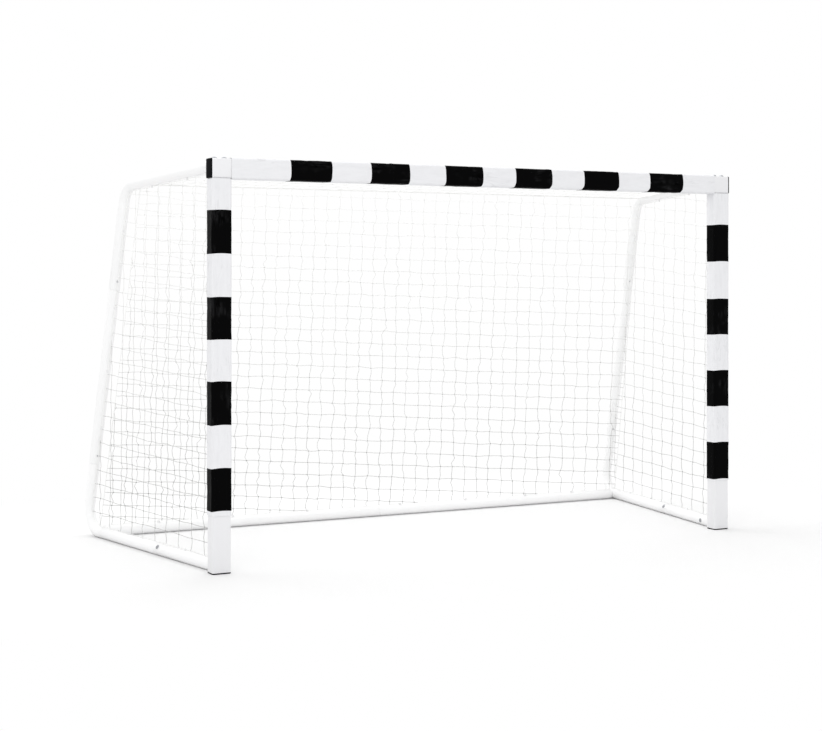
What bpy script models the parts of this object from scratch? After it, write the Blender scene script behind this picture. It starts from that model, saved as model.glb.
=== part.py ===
"""Portable soccer goal: rectangular front frame, splayed round-tube side frames, rear ground bar and net.

Metres, +Z up, X across the goal, the mouth faces -Y. The origin is at the middle of the footprint.
"""

import math

import bmesh
import bpy
from mathutils import Matrix, Vector
from mathutils.geometry import delaunay_2d_cdt

# Overall sizes
WIDTH = 2.600  # over the outer faces of the posts
HEIGHT = 1.680  # ground to the top of the crossbar

# Rectangular profile of posts and crossbar
POST_WIDTH = 0.080
BAR_HEIGHT = 0.080
PROFILE_DEPTH = 0.060
PROFILE_WALL = 0.002
PROFILE_ROUND = 0.006

# Round tube of the side frames and the rear bar
TUBE_R = 0.025
TUBE_WALL = 0.002
TUBE_SIDES = 16
BEND_R = 0.100  # to the middle of the tube
BEND_STEPS = 7

# Side frame, in its own upright plane, measured backwards from the rear face of the post
SPLAY = math.radians(9.1)
TOP_DEPTH = 0.821  # to the upper corner, where the straight tubes would cross
TOP_DROP = 0.046  # fall of the top rail to that corner
GROUND_DEPTH = 1.2245  # to the lower corner

# Places of the tube joints, measured along a tube from the corner it comes from
UPPER_BUTTON = 0.437  # below the upper corner
LOWER_BUTTON = 0.365  # above the lower corner
RAIL_SEAM = 0.175  # in front of the lower corner
MID_SEAM = 0.710
MID_BOLT = 0.747
SPIGOT_BOLT = 0.085  # behind the post
BUTTON_TO_SEAM = 0.040
NECK_LENGTH = 0.080

# Clearances
GAP = 0.0003  # between parts that touch
FIT = 0.0004  # radial, between a tube and the neck in it
HOLE_FIT = 0.0006  # radial, round bolts and buttons

# Caps and plugs
CAP_FLANGE = 0.005
FOOT_PLUG_DEPTH = 0.022
CAP_WALL = 0.003
CAP_TO_BOLT = 0.003

# Fasteners
CORNER_BOLT_SPACING = 0.042
CORNER_BOLT_R = 0.004
CORNER_HEAD_R = 0.0115
CORNER_HEAD_H = 0.006
CORNER_BOLT_BITE = 0.035  # length in the threaded head of the post
HEAD_BLOCK = 0.050
WELD = 0.0005  # how far joined shapes run into each other
TUBE_BOLT_R = 0.004
TUBE_HEAD_R = 0.010
TUBE_HEAD_H = 0.005
RIVET_NUT_R = 0.0065
RIVET_NUT_H = 0.008
SCREW_R = 0.002
SCREW_HEAD_R = 0.004
SCREW_HEAD_H = 0.0025
SCREW_BITE = 0.006
BOLT_SIDES = 12
RIVET_SIDES = 8

# Snap buttons
BUTTON_R = 0.0048
BUTTON_PROUD = 0.004
BUTTON_FLANGE_R = 0.0075
BUTTON_FLANGE_H = 0.0015
BUTTON_SEAT = 0.0187  # top of the flange, from the middle of the tube
SPRING_WIDTH = 0.008
SPRING_THICK = 0.0008

# Spigot plates
PLATE_THICK = 0.004
PLATE_WIDTH = 0.074
PLATE_BELOW = 0.024  # from the spigot's axis to the near edge
PLATE_ABOVE = 0.036
SPIGOT_LENGTH = 0.120
RIVET_SPREAD = 0.022
RIVET_SHIFT = 0.028
RAIL_START = 0.010  # end of a rail behind the post

# Joint in the middle of the crossbar
CROSSBAR_NECK = 0.180
CROSSBAR_SCREWS = (0.050, 0.130)

# Sleeves
SLEEVE_THICK = 0.0016
SLEEVE_RETURN = 0.012  # what wraps on to the rear face at each edge
SLEEVE_FOOT = 0.235  # height of the hem of a post sleeve

# Net
NET_THICK = 0.004
NET_STRAND = 0.006
NET_BORDER = 0.006
BACK_CELLS = (12, 7)
SIDE_CELLS = (6, 7)
TOP_CELLS = (12, 3)
TOP_NET_DEPTH = 0.740  # of the rear edge of the top panel, in the side frame's plane

# Ties and hooks
TIE_REACH = TUBE_HEAD_H + 4 * GAP  # from the tube to the edge of the net, clear of the bolt heads
TIE_WIDTH = 0.012
TIE_THICK = 0.003
TRACK_WIDTH = 0.010
TRACK_THICK = 0.002
TRACK_END = 0.020
HOOK_WIDTH = 0.008
HOOK_REACH = 0.015
HOOK_BASE = 0.003
HOOK_HALF = 0.012
HOOK_FLOOR = 0.002
HOOK_LIP = 0.006
HOOK_SLACK = 0.0008
TOP_TIES = (0.240, 0.560)
UPRIGHT_TIES = (0.200, 0.560, 0.860, 1.130)
RAIL_TIES = (0.330, 0.560, 0.960)
TOP_NET_TIES = (0.140, 0.400, 0.660)
REAR_TIES = (-1.150, -0.780, -0.390, 0.120, 0.500, 0.860, 1.150)

# Worked out from the sizes above
CLEAR_HEIGHT = HEIGHT - BAR_HEIGHT
NECK_R = TUBE_R - TUBE_WALL - FIT
POST_X = WIDTH / 2 - POST_WIDTH / 2
POST_TOP = CLEAR_HEIGHT - GAP
SLEEVE_OUT = GAP + SLEEVE_THICK
SPLAY_SIN = math.sin(SPLAY)
SPLAY_COS = math.cos(SPLAY)
NET_INSET = TUBE_R + TIE_REACH
END_CAP_DEPTH = (POST_WIDTH - CORNER_BOLT_SPACING) / 2 - CORNER_BOLT_R - CAP_TO_BOLT


def clear_scene():
    for item in list(bpy.data.objects):
        bpy.data.objects.remove(item, do_unlink=True)


def material(name, colour, roughness, metallic=0.0):
    """A Principled material in one colour."""
    made = bpy.data.materials.new(name)
    made.use_nodes = True
    shader = made.node_tree.nodes["Principled BSDF"]
    shader.inputs["Base Color"].default_value = (*colour, 1.0)
    shader.inputs["Roughness"].default_value = roughness
    shader.inputs["Metallic"].default_value = metallic
    made.diffuse_color = (*colour, 1.0)
    return made


def add_object(name, bm, finish, place=None, smooth=False):
    """Turns a bmesh into a named object with outward faces."""
    bmesh.ops.recalc_face_normals(bm, faces=bm.faces)
    mesh = bpy.data.meshes.new(name)
    bm.to_mesh(mesh)
    bm.free()
    mesh.materials.append(finish)
    if smooth:
        mesh.shade_smooth()
        mesh.set_sharp_from_angle(angle=math.radians(40))
    made = bpy.data.objects.new(name, mesh)
    bpy.context.collection.objects.link(made)
    if place is not None:
        made.location = place
    return made


def combine(target, other, operation):
    """Applies one exact boolean to the target and removes the other object."""
    step = target.modifiers.new(operation.title(), "BOOLEAN")
    step.operation = operation
    step.solver = "EXACT"
    step.object = other
    bpy.context.view_layer.update()
    shape = target.evaluated_get(bpy.context.evaluated_depsgraph_get())
    result = bpy.data.meshes.new_from_object(shape)
    target.modifiers.clear()
    target.data = result
    bpy.data.objects.remove(other, do_unlink=True)


def cut(target, cutter):
    combine(target, cutter, "DIFFERENCE")


def weld(target, piece):
    combine(target, piece, "UNION")


def keep_smooth(target):
    """Shades a piece smooth again after its holes are cut."""
    target.data.shade_smooth()
    target.data.set_sharp_from_angle(angle=math.radians(40))


def frame_of(direction, side=None):
    """A matrix whose Z is the direction and whose X is as near as can be to side."""
    z = direction.normalized()
    if side is None:
        side = Vector((0, 0, 1)) if abs(z.z) < 0.9 else Vector((1, 0, 0))
    y = z.cross(side).normalized()
    x = y.cross(z)
    return Matrix((x, y, z)).transposed().to_4x4()


def loft(bm, loops, closed=True):
    """Skins a row of equal loops of points. Each loop runs round the piece."""
    rows = [[bm.verts.new(point) for point in loop] for loop in loops]
    pairs = list(zip(rows, rows[1:]))
    if closed:
        pairs.append((rows[-1], rows[0]))
    count = len(rows[0])
    for low, high in pairs:
        for i in range(count):
            j = (i + 1) % count
            bm.faces.new((low[i], low[j], high[j], high[i]))
    return rows


def rounded_rectangle(width, depth, radius, steps=3):
    """Points of a rectangle with round corners, counter-clockwise from the rear face."""
    corners = ((-1, 1, 90), (-1, -1, 180), (1, -1, 270), (1, 1, 0))
    points = []
    for sx, sy, start in corners:
        cx = sx * (width / 2 - radius)
        cy = sy * (depth / 2 - radius)
        for k in range(steps + 1):
            turn = math.radians(start + 90 * k / steps)
            points.append((cx + radius * math.cos(turn), cy + radius * math.sin(turn)))
    return points


def profile_tube(bm, width, depth, sections, place):
    """A rectangular tube through (inset, height) sections, given down the outside and back up the inside."""
    loops = []
    for inset, height in sections:
        outline = rounded_rectangle(
            width - 2 * inset, depth - 2 * inset, max(PROFILE_ROUND - inset, PROFILE_WALL / 2)
        )
        loops.append([place @ Vector((x, y, height)) for x, y in outline])
    loft(bm, loops)


def profile_block(bm, width, depth, radius, start, end, place):
    """A solid bar with the same kind of outline."""
    outline = rounded_rectangle(width, depth, radius)
    loops = []
    for height in (start, end):
        loops.append([place @ Vector((x, y, height)) for x, y in outline])
    low, high = loft(bm, loops, closed=False)
    bm.faces.new(low)
    bm.faces.new(high)


def turned(bm, profile, place, sides=BOLT_SIDES):
    """Spins a profile of (radius, height) points that starts and ends on the local Z axis."""
    verts = [bm.verts.new(place @ Vector((radius, 0, height))) for radius, height in profile]
    edges = [bm.edges.new(pair) for pair in zip(verts, verts[1:])]
    axis = (place.to_3x3() @ Vector((0, 0, 1))).normalized()
    bmesh.ops.spin(
        bm,
        geom=verts + edges,
        cent=place.to_translation(),
        axis=axis,
        angle=2 * math.pi,
        steps=sides,
        use_merge=True,
    )
    bmesh.ops.remove_doubles(bm, verts=bm.verts, dist=0.00001)


def rod(name, start, end, radius, finish, sides=BOLT_SIDES):
    """A plain round bar, used as a cutter or a piece to be joined."""
    bm = bmesh.new()
    length = (end - start).length
    half_side = Matrix.Rotation(math.pi / sides, 4, "Z")
    place = Matrix.Translation(start) @ frame_of(end - start) @ half_side
    turned(bm, ((0, 0), (radius, 0), (radius, length), (0, length)), place, sides)
    return add_object(name, bm, finish)


def y_from_front(distance):
    """World Y of a point that lies the distance behind the front face of the posts."""
    return FRONT_Y + distance


def side_axes(sign):
    """Backward direction and inward-to-outward normal of a side frame's plane."""
    back = Vector((sign * SPLAY_SIN, SPLAY_COS, 0))
    normal = Vector((SPLAY_COS, -sign * SPLAY_SIN, 0))
    return back, normal


def side_point(sign, depth, height):
    """World point of a side frame, from the depth behind the post and the height."""
    back, _ = side_axes(sign)
    return Vector((sign * POST_X, y_from_front(PROFILE_DEPTH), height)) + back * depth


class Route:
    """A line of straight runs with round bends, in the (depth, height) plane of a side frame."""

    def __init__(self, points, radius):
        self.runs = []
        self.corner_start = []
        self.tangent = []
        here = Vector(points[0])
        length = 0.0
        for before, corner, after in zip(points, points[1:], points[2:]):
            arrive = (Vector(corner) - Vector(before)).normalized()
            leave = (Vector(after) - Vector(corner)).normalized()
            turn = arrive.angle_signed(leave)
            cut_back = radius * math.tan(abs(turn) / 2)
            bend_start = Vector(corner) - arrive * cut_back
            self.runs.append((length, (bend_start - here).length, here, arrive, 0.0))
            length += (bend_start - here).length
            self.corner_start.append(length)
            self.tangent.append(cut_back)
            self.runs.append((length, radius * abs(turn), bend_start, arrive, -turn))
            length += radius * abs(turn)
            here = Vector(corner) + leave * cut_back
        last = Vector(points[-1])
        self.runs.append((length, (last - here).length, here, (last - here).normalized(), 0.0))
        self.radius = radius
        self.length = length + (last - here).length

    def at(self, distance):
        """Point and heading at a distance along the route."""
        run = next((r for r in self.runs if distance <= r[0] + r[1] + 1e-9), self.runs[-1])
        start, length, origin, heading, turn = run
        travel = distance - start
        if turn == 0.0:
            return origin + heading * travel, heading
        side = 1 if turn > 0 else -1
        centre = origin + Vector((-heading.y, heading.x)) * self.radius * side
        angle = turn * travel / length
        spoke = origin - centre
        spoke.rotate(Matrix.Rotation(angle, 2))
        ahead = heading.copy()
        ahead.rotate(Matrix.Rotation(angle, 2))
        return centre + spoke, ahead

    def before(self, corner, distance):
        """Distance along the route of a point that lies ahead of a corner."""
        return self.corner_start[corner] + self.tangent[corner] - distance

    def after(self, corner, distance):
        """Distance along the route of a point past a corner."""
        start, length = self.runs[2 * corner + 1][:2]
        return start + length + distance - self.tangent[corner]

    def marks(self):
        """Distances at which a bend has a ring."""
        found = []
        for start, length, _, _, turn in self.runs:
            if turn != 0.0:
                found += [start + length * k / BEND_STEPS for k in range(BEND_STEPS + 1)]
        return found


def ring_distances(marks, steps):
    """Adds the bend marks to a list of (distance, radius) steps."""
    rings = []
    for (d0, r0), (d1, r1) in zip(steps, steps[1:]):
        rings.append((d0, r0))
        for mark in marks:
            if d0 + 1e-6 < mark < d1 - 1e-6:
                rings.append((mark, r0 + (r1 - r0) * (mark - d0) / (d1 - d0)))
    rings.append(steps[-1])
    return rings


def tube_loops(locate, rings, sides):
    loops = []
    for distance, radius in rings:
        point, side, up = locate(distance)
        loops.append(
            [
                point
                + side * radius * math.cos(2 * math.pi * k / sides)
                + up * radius * math.sin(2 * math.pi * k / sides)
                for k in range(sides)
            ]
        )
    return loops


def hollow_tube(bm, locate, marks, outer, inner, sides=TUBE_SIDES):
    """A tube whose outer and inner radii follow lists of (distance, radius) steps."""
    loops = tube_loops(locate, ring_distances(marks, outer), sides)
    loops += reversed(tube_loops(locate, ring_distances(marks, inner), sides))
    loft(bm, loops)


def solid_tube(bm, locate, marks, outer, sides=TUBE_SIDES):
    rows = loft(bm, tube_loops(locate, ring_distances(marks, outer), sides), closed=False)
    bm.faces.new(rows[0])
    bm.faces.new(rows[-1])


def side_route():
    """Middle line of a side frame, from the crossbar over the back to the foot of the post."""
    top = HEIGHT - TUBE_R
    return Route(
        ((0, top), (TOP_DEPTH, top - TOP_DROP), (GROUND_DEPTH, TUBE_R), (0, TUBE_R)),
        BEND_R,
    )


def side_locator(sign):
    """Places rings on a side frame's route."""
    back, normal = side_axes(sign)

    def locate(distance):
        flat, heading = ROUTE.at(distance)
        ahead = back * heading.x + Vector((0, 0, heading.y))
        return side_point(sign, flat.x, flat.y), normal, normal.cross(ahead)

    return locate


def straight_locator(start, direction, side):
    """Places rings on a straight axis."""
    ahead = direction.normalized()
    up = side.cross(ahead).normalized()

    def locate(distance):
        return start + ahead * distance, side, up

    return locate


def female(start, end):
    """Outer and inner steps of a plain tube."""
    return [(start, TUBE_R), (end, TUBE_R)], [(start, TUBE_R - TUBE_WALL), (end, TUBE_R - TUBE_WALL)]


def necked(start, end, neck_at_start):
    """Outer and inner steps of a tube with one end drawn in to plug into the next tube."""
    neck_in = NECK_R - TUBE_WALL
    body_in = TUBE_R - TUBE_WALL
    blend = 2 * TUBE_WALL
    if neck_at_start:
        outer = [(start - NECK_LENGTH, NECK_R), (start, NECK_R), (start, TUBE_R), (end, TUBE_R)]
        inner = [(start - NECK_LENGTH, neck_in), (start + blend, neck_in)]
        inner += [(start + 2 * blend, body_in), (end, body_in)]
        return outer, inner
    outer = [(start, TUBE_R), (end, TUBE_R), (end, NECK_R), (end + NECK_LENGTH, NECK_R)]
    inner = [(start, body_in), (end - 2 * blend, body_in)]
    inner += [(end - blend, neck_in), (end + NECK_LENGTH, neck_in)]
    return outer, inner


def side_name(sign):
    return "left" if sign < 0 else "right"


def tube_piece(name, locate, marks, steps, finish):
    bm = bmesh.new()
    hollow_tube(bm, locate, marks, *steps)
    return add_object(name, bm, finish, smooth=True)


def button_hole(target, point, direction, finish):
    """Cuts a snap button's hole through the wall on one side of a tube."""
    start = point + direction * (BUTTON_SEAT - BUTTON_FLANGE_H)
    end = point + direction * (TUBE_R + BUTTON_PROUD)
    cut(target, rod("hole", start, end, BUTTON_R + HOLE_FIT, finish))


def through_hole(target, point, direction, radius, reach, finish):
    cut(target, rod("hole", point - direction * reach, point + direction * reach, radius, finish))


def snap_button(name, point, direction, finish):
    """A domed pin with a flange that stops it inside the neck. Its origin is on its line of travel."""
    top = TUBE_R + BUTTON_PROUD
    low = BUTTON_SEAT - BUTTON_FLANGE_H
    profile = [(0, low), (BUTTON_FLANGE_R, low), (BUTTON_FLANGE_R, BUTTON_SEAT)]
    profile += [(BUTTON_R, BUTTON_SEAT), (BUTTON_R, top - 0.0016)]
    profile += [(BUTTON_R * 0.8, top - 0.0006), (0, top)]
    bm = bmesh.new()
    turned(bm, profile, frame_of(direction))
    return add_object(name, bm, finish, place=point, smooth=True)


def leaf_spring(name, point, direction, along, finish):
    """A folded strip inside the neck: one leg under the button, the other on the far wall."""
    reach = BUTTON_SEAT - BUTTON_FLANGE_H - GAP - SPRING_THICK / 2
    slope = math.tan(math.pi / TUBE_SIDES)
    far = NECK_R - TUBE_WALL - slope * SPRING_WIDTH / 2 - GAP - SPRING_THICK / 2
    line = [(-0.012, reach), (0.009, reach), (0.030, 0.006), (0.033, 0.0)]
    line += [(0.030, -0.006), (0.006, -far), (-0.016, -far)]
    across = direction.cross(along)
    bm = bmesh.new()
    rows = []
    for i, (a, h) in enumerate(line):
        before = Vector(line[max(i - 1, 0)])
        after = Vector(line[min(i + 1, len(line) - 1)])
        ahead = (after - before).normalized()
        off = Vector((-ahead.y, ahead.x)) * SPRING_THICK / 2
        row = []
        for sx, sw in ((1, 1), (1, -1), (-1, -1), (-1, 1)):
            spot = point + along * (a + sx * off.x) + direction * (h + sx * off.y)
            row.append(spot + across * sw * SPRING_WIDTH / 2)
        rows.append(row)
    made = loft(bm, rows, closed=False)
    bm.faces.new(made[0])
    bm.faces.new(made[-1])
    return add_object(name, bm, finish)


def dome_bolt(name, seat, direction, head_r, head_h, shank_r, length, finish):
    """A bolt whose domed head stands on the seat and whose shank runs the other way."""
    profile = [(0, -length), (shank_r, -length), (shank_r, 0), (head_r, 0), (head_r * 0.95, head_h * 0.45)]
    profile += [(head_r * 0.6, head_h * 0.9), (0, head_h)]
    bm = bmesh.new()
    turned(bm, profile, Matrix.Translation(seat) @ frame_of(direction))
    return add_object(name, bm, finish, smooth=True)


def rivet_nut(target, point, direction, finish):
    """A threaded nut set in the wall of a neck, on the side that the bolt comes from."""
    outer = NECK_R - TUBE_WALL + WELD
    weld(
        target,
        rod("nut", point + direction * (outer - RIVET_NUT_H), point + direction * outer, RIVET_NUT_R, finish),
    )


def bolt_hole(target, point, direction, finish):
    """A hole through the walls on the side that a tube bolt comes from."""
    cut(target, rod("hole", point, point + direction * 2 * TUBE_R, TUBE_BOLT_R + HOLE_FIT, finish))


def build_posts(paint):
    for sign in (-1, 1):
        centre_y = y_from_front(PROFILE_DEPTH / 2)
        place = Matrix.Translation((sign * POST_X, centre_y, 0))
        foot = CAP_FLANGE + GAP
        sections = ((0, foot), (0, POST_TOP), (PROFILE_WALL, POST_TOP), (PROFILE_WALL, foot))
        bm = bmesh.new()
        profile_tube(bm, POST_WIDTH, PROFILE_DEPTH, sections, place)
        post = add_object(f"post_{side_name(sign)}", bm, paint)
        inset = PROFILE_WALL - WELD
        bm = bmesh.new()
        profile_block(
            bm,
            POST_WIDTH - 2 * inset,
            PROFILE_DEPTH - 2 * inset,
            PROFILE_ROUND - inset,
            POST_TOP - HEAD_BLOCK,
            POST_TOP - WELD,
            place,
        )
        weld(post, add_object("head", bm, paint))
        for x in corner_bolt_places(sign):
            low = Vector((x, centre_y, CLEAR_HEIGHT - CORNER_BOLT_BITE - GAP))
            high = Vector((x, centre_y, HEIGHT))
            cut(post, rod("hole", low, high, CORNER_BOLT_R + HOLE_FIT, paint))
        drill_rivets(post, sign, ground_spigot_height(), 1, paint)
        keep_smooth(post)


def corner_bolt_places(sign):
    return [sign * POST_X + offset * CORNER_BOLT_SPACING / 2 for offset in (-1, 1)]


def build_crossbar(paint, steel):
    """Two halves. The left one is drawn in to a neck that plugs into the right one."""
    middle = Vector((0, y_from_front(PROFILE_DEPTH / 2), HEIGHT - BAR_HEIGHT / 2))
    place = Matrix.Translation(middle) @ Matrix.Rotation(math.radians(90), 4, "Y")
    neck = PROFILE_WALL + FIT
    bore = neck + PROFILE_WALL
    end = WIDTH / 2
    left = [(0, -end), (0, -GAP), (neck, -GAP), (neck, CROSSBAR_NECK), (bore, CROSSBAR_NECK)]
    left += [(bore, -2 * PROFILE_WALL), (PROFILE_WALL, -4 * PROFILE_WALL), (PROFILE_WALL, -end)]
    right = [(0, 0), (0, end), (PROFILE_WALL, end), (PROFILE_WALL, 0)]
    halves = {}
    for sign, sections in ((-1, left), (1, right)):
        bm = bmesh.new()
        profile_tube(bm, BAR_HEIGHT, PROFILE_DEPTH, sections, place)
        half = add_object(f"crossbar_{side_name(sign)}", bm, paint)
        for x in corner_bolt_places(sign):
            low = Vector((x, middle.y, CLEAR_HEIGHT - GAP))
            high = Vector((x, middle.y, HEIGHT + GAP))
            cut(half, rod("hole", low, high, CORNER_BOLT_R + HOLE_FIT, paint))
        drill_rivets(half, sign, top_spigot_height(), -1, paint)
        halves[sign] = half
    for number, x in enumerate(CROSSBAR_SCREWS, start=1):
        for half in halves.values():
            drill_rear(half, x, middle.z, paint)
        seat = Vector((x, y_from_front(PROFILE_DEPTH) + GAP, middle.z))
        dome_bolt(
            f"crossbar_screw_{number}",
            seat,
            Vector((0, 1, 0)),
            SCREW_HEAD_R,
            SCREW_HEAD_H,
            SCREW_R,
            SCREW_BITE,
            steel,
        )
    for half in halves.values():
        keep_smooth(half)


def drill_rear(target, x, height, finish):
    """A small hole in the rear wall."""
    start = Vector((x, y_from_front(PROFILE_DEPTH) - SCREW_BITE, height))
    end = Vector((x, y_from_front(PROFILE_DEPTH) + SCREW_BITE, height))
    cut(target, rod("hole", start, end, SCREW_R + HOLE_FIT, finish, RIVET_SIDES))


def ground_spigot_height():
    return TUBE_R


def top_spigot_height():
    return HEIGHT - TUBE_R


def rivet_places(sign, axis_height, up):
    """Two rivets beside a spigot, above its axis where up is 1 and below it where up is -1."""
    height = axis_height + up * RIVET_SHIFT
    return [(sign * POST_X + offset * RIVET_SPREAD, height) for offset in (-1, 1)]


def drill_rivets(target, sign, axis_height, up, finish):
    for x, height in rivet_places(sign, axis_height, up):
        drill_rear(target, x, height, finish)


def plug(name, width, collar_depth, finish, place):
    """A cap with a flange outside the profile and a hollow collar inside it. Local +Z points out."""
    bm = bmesh.new()
    rim = PROFILE_ROUND / 3
    inner = PROFILE_WALL + GAP
    collar_w = width - 2 * inner
    collar_d = PROFILE_DEPTH - 2 * inner
    collar_r = PROFILE_ROUND - PROFILE_WALL
    outlines = (
        (rounded_rectangle(width, PROFILE_DEPTH, PROFILE_ROUND), 0),
        (rounded_rectangle(width, PROFILE_DEPTH, PROFILE_ROUND), CAP_FLANGE - rim),
        (rounded_rectangle(width - 2 * rim, PROFILE_DEPTH - 2 * rim, PROFILE_ROUND - rim), CAP_FLANGE),
    )
    collar = (
        (rounded_rectangle(collar_w, collar_d, collar_r), 0),
        (rounded_rectangle(collar_w, collar_d, collar_r), -collar_depth),
        (rounded_rectangle(collar_w - 2 * CAP_WALL, collar_d - 2 * CAP_WALL, 0.001), -collar_depth),
        (rounded_rectangle(collar_w - 2 * CAP_WALL, collar_d - 2 * CAP_WALL, 0.001), 0),
    )
    loops = [[Vector((x, y, z)) for x, y in outline] for outline, z in reversed(outlines)]
    loops += [[Vector((x, y, z)) for x, y in outline] for outline, z in collar]
    rows = loft(bm, [[place @ point for point in loop] for loop in loops], closed=False)
    bm.faces.new(rows[0])
    bm.faces.new(rows[-1])
    return add_object(name, bm, finish, smooth=True)


def build_plugs(rubber):
    for sign in (-1, 1):
        side = side_name(sign)
        middle = Vector((sign * POST_X, y_from_front(PROFILE_DEPTH / 2), CAP_FLANGE))
        down = Matrix.Translation(middle) @ Matrix.Rotation(math.pi, 4, "Y")
        plug(f"foot_plug_{side}", POST_WIDTH, FOOT_PLUG_DEPTH, rubber, down)
        end = Vector((sign * (WIDTH / 2 + GAP), y_from_front(PROFILE_DEPTH / 2), HEIGHT - BAR_HEIGHT / 2))
        outward = Matrix.Translation(end) @ Matrix.Rotation(sign * math.radians(90), 4, "Y")
        plug(f"end_cap_{side}", BAR_HEIGHT, END_CAP_DEPTH, rubber, outward)


def build_corner_bolts(steel):
    for sign in (-1, 1):
        for place, x in zip(("outer", "inner")[::-sign], corner_bolt_places(sign)):
            seat = Vector((x, y_from_front(PROFILE_DEPTH / 2), HEIGHT + GAP))
            dome_bolt(
                f"corner_bolt_{place}_{side_name(sign)}",
                seat,
                Vector((0, 0, 1)),
                CORNER_HEAD_R,
                CORNER_HEAD_H,
                CORNER_BOLT_R,
                BAR_HEIGHT + CORNER_BOLT_BITE,
                steel,
            )


def wrap_outline(width, grow):
    """The line of a sleeve round the front and sides, open on the rear face."""
    outline = rounded_rectangle(width + 2 * grow, PROFILE_DEPTH + 2 * grow, PROFILE_ROUND + grow)
    rear = PROFILE_DEPTH / 2 + grow
    edge = width / 2 - SLEEVE_RETURN
    return [(-edge, rear), *outline, (edge, rear)]


def sleeve(name, width, start, end, place, finish):
    """A skin folded round a profile, with its two edges on the rear face."""
    inner = wrap_outline(width, GAP)
    outer = wrap_outline(width, SLEEVE_OUT)
    bm = bmesh.new()
    rows = []
    for (ix, iy), (ox, oy) in zip(inner, outer):
        rows.append(
            [
                place @ Vector((ix, iy, start)),
                place @ Vector((ox, oy, start)),
                place @ Vector((ox, oy, end)),
                place @ Vector((ix, iy, end)),
            ]
        )
    made = loft(bm, rows, closed=False)
    bm.faces.new(made[0])
    bm.faces.new(made[-1])
    return add_object(name, bm, finish, smooth=True)


def build_sleeves(vinyl):
    centre_y = y_from_front(PROFILE_DEPTH / 2)
    for sign in (-1, 1):
        place = Matrix.Translation((sign * POST_X, centre_y, 0))
        top = CLEAR_HEIGHT - SLEEVE_OUT - GAP
        sleeve(f"post_sleeve_{side_name(sign)}", POST_WIDTH, SLEEVE_FOOT, top, place, vinyl)
    reach = WIDTH / 2 - POST_WIDTH - SLEEVE_OUT - GAP
    place = Matrix.Translation((0, centre_y, HEIGHT - BAR_HEIGHT / 2)) @ Matrix.Rotation(
        math.radians(90), 4, "Y"
    )
    sleeve("crossbar_sleeve", BAR_HEIGHT, -reach, reach, place, vinyl)


def slid_to(loop, ahead, y):
    """The same loop moved along its axis on to an upright plane."""
    return [point + ahead * (y - point.y) / ahead.y for point in loop]


def spigot(name, sign, height, heading, up, finish):
    """A plate on the rear face with the short tube that a rail slides over, and its two rivets."""
    rear = y_from_front(PROFILE_DEPTH) + GAP
    low, high = (-PLATE_BELOW, PLATE_ABOVE) if up > 0 else (-PLATE_ABOVE, PLATE_BELOW)
    bm = bmesh.new()
    bmesh.ops.create_cube(bm, size=1.0)
    size = Vector((PLATE_WIDTH, PLATE_THICK, high - low))
    centre = Vector((sign * POST_X, rear + PLATE_THICK / 2, height + (low + high) / 2))
    bmesh.ops.transform(bm, matrix=Matrix.LocRotScale(centre, None, size), verts=bm.verts)
    made = add_object(name, bm, finish)
    back, normal = side_axes(sign)
    ahead = back * heading.x + Vector((0, 0, heading.y))
    start = side_point(sign, 0, height)
    locate = straight_locator(start, ahead, normal)
    bore = NECK_R - TUBE_WALL
    outer, inner = tube_loops(locate, [(SPIGOT_LENGTH, NECK_R), (SPIGOT_LENGTH, bore)], TUBE_SIDES)
    loops = [slid_to(outer, ahead, rear + PLATE_THICK / 2), outer, inner]
    loops.append(slid_to(inner, ahead, rear + PLATE_THICK + WELD))
    bm = bmesh.new()
    rows = loft(bm, loops, closed=False)
    bm.faces.new(rows[0])
    bm.faces.new(rows[-1])
    for x, z in rivet_places(sign, height, up):
        seat = Matrix.Translation((x, rear + PLATE_THICK - WELD, z)) @ frame_of(Vector((0, 1, 0)))
        inner = PROFILE_WALL + GAP + PLATE_THICK
        profile = [(0, -inner - SCREW_HEAD_H), (SCREW_HEAD_R, -inner - SCREW_HEAD_H)]
        profile += [(SCREW_HEAD_R, -inner), (SCREW_R, -inner), (SCREW_R, -PLATE_THICK / 2)]
        profile += [(SCREW_HEAD_R, 0), (SCREW_HEAD_R * 0.9, SCREW_HEAD_H / 2), (0, SCREW_HEAD_H)]
        turned(bm, profile, seat, RIVET_SIDES)
    weld(made, add_object("stub", bm, finish))
    return made


def build_spigots(paint):
    for sign in (-1, 1):
        side = side_name(sign)
        spigot(f"top_spigot_{side}", sign, top_spigot_height(), ROUTE.at(0)[1], -1, paint)
        spigot(f"ground_spigot_{side}", sign, ground_spigot_height(), Vector((1, 0)), 1, paint)


def joint_places(sign):
    """Point and direction of each side-frame button: name, route distance, direction."""
    back, normal = side_axes(sign)
    upper, upper_heading = ROUTE.at(ROUTE.after(0, UPPER_BUTTON))
    lower, _ = ROUTE.at(ROUTE.before(1, LOWER_BUTTON))
    rail, _ = ROUTE.at(ROUTE.after(1, RAIL_SEAM + BUTTON_TO_SEAM))
    ahead = back * upper_heading.x + Vector((0, 0, upper_heading.y))
    forward = normal.cross(ahead)
    if forward.y > 0:
        forward = -forward
    return (
        ("upper", side_point(sign, upper.x, upper.y), forward, ahead),
        ("lower", side_point(sign, lower.x, lower.y), forward, ahead),
        ("rail", side_point(sign, rail.x, rail.y), normal, -back),
    )


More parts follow.
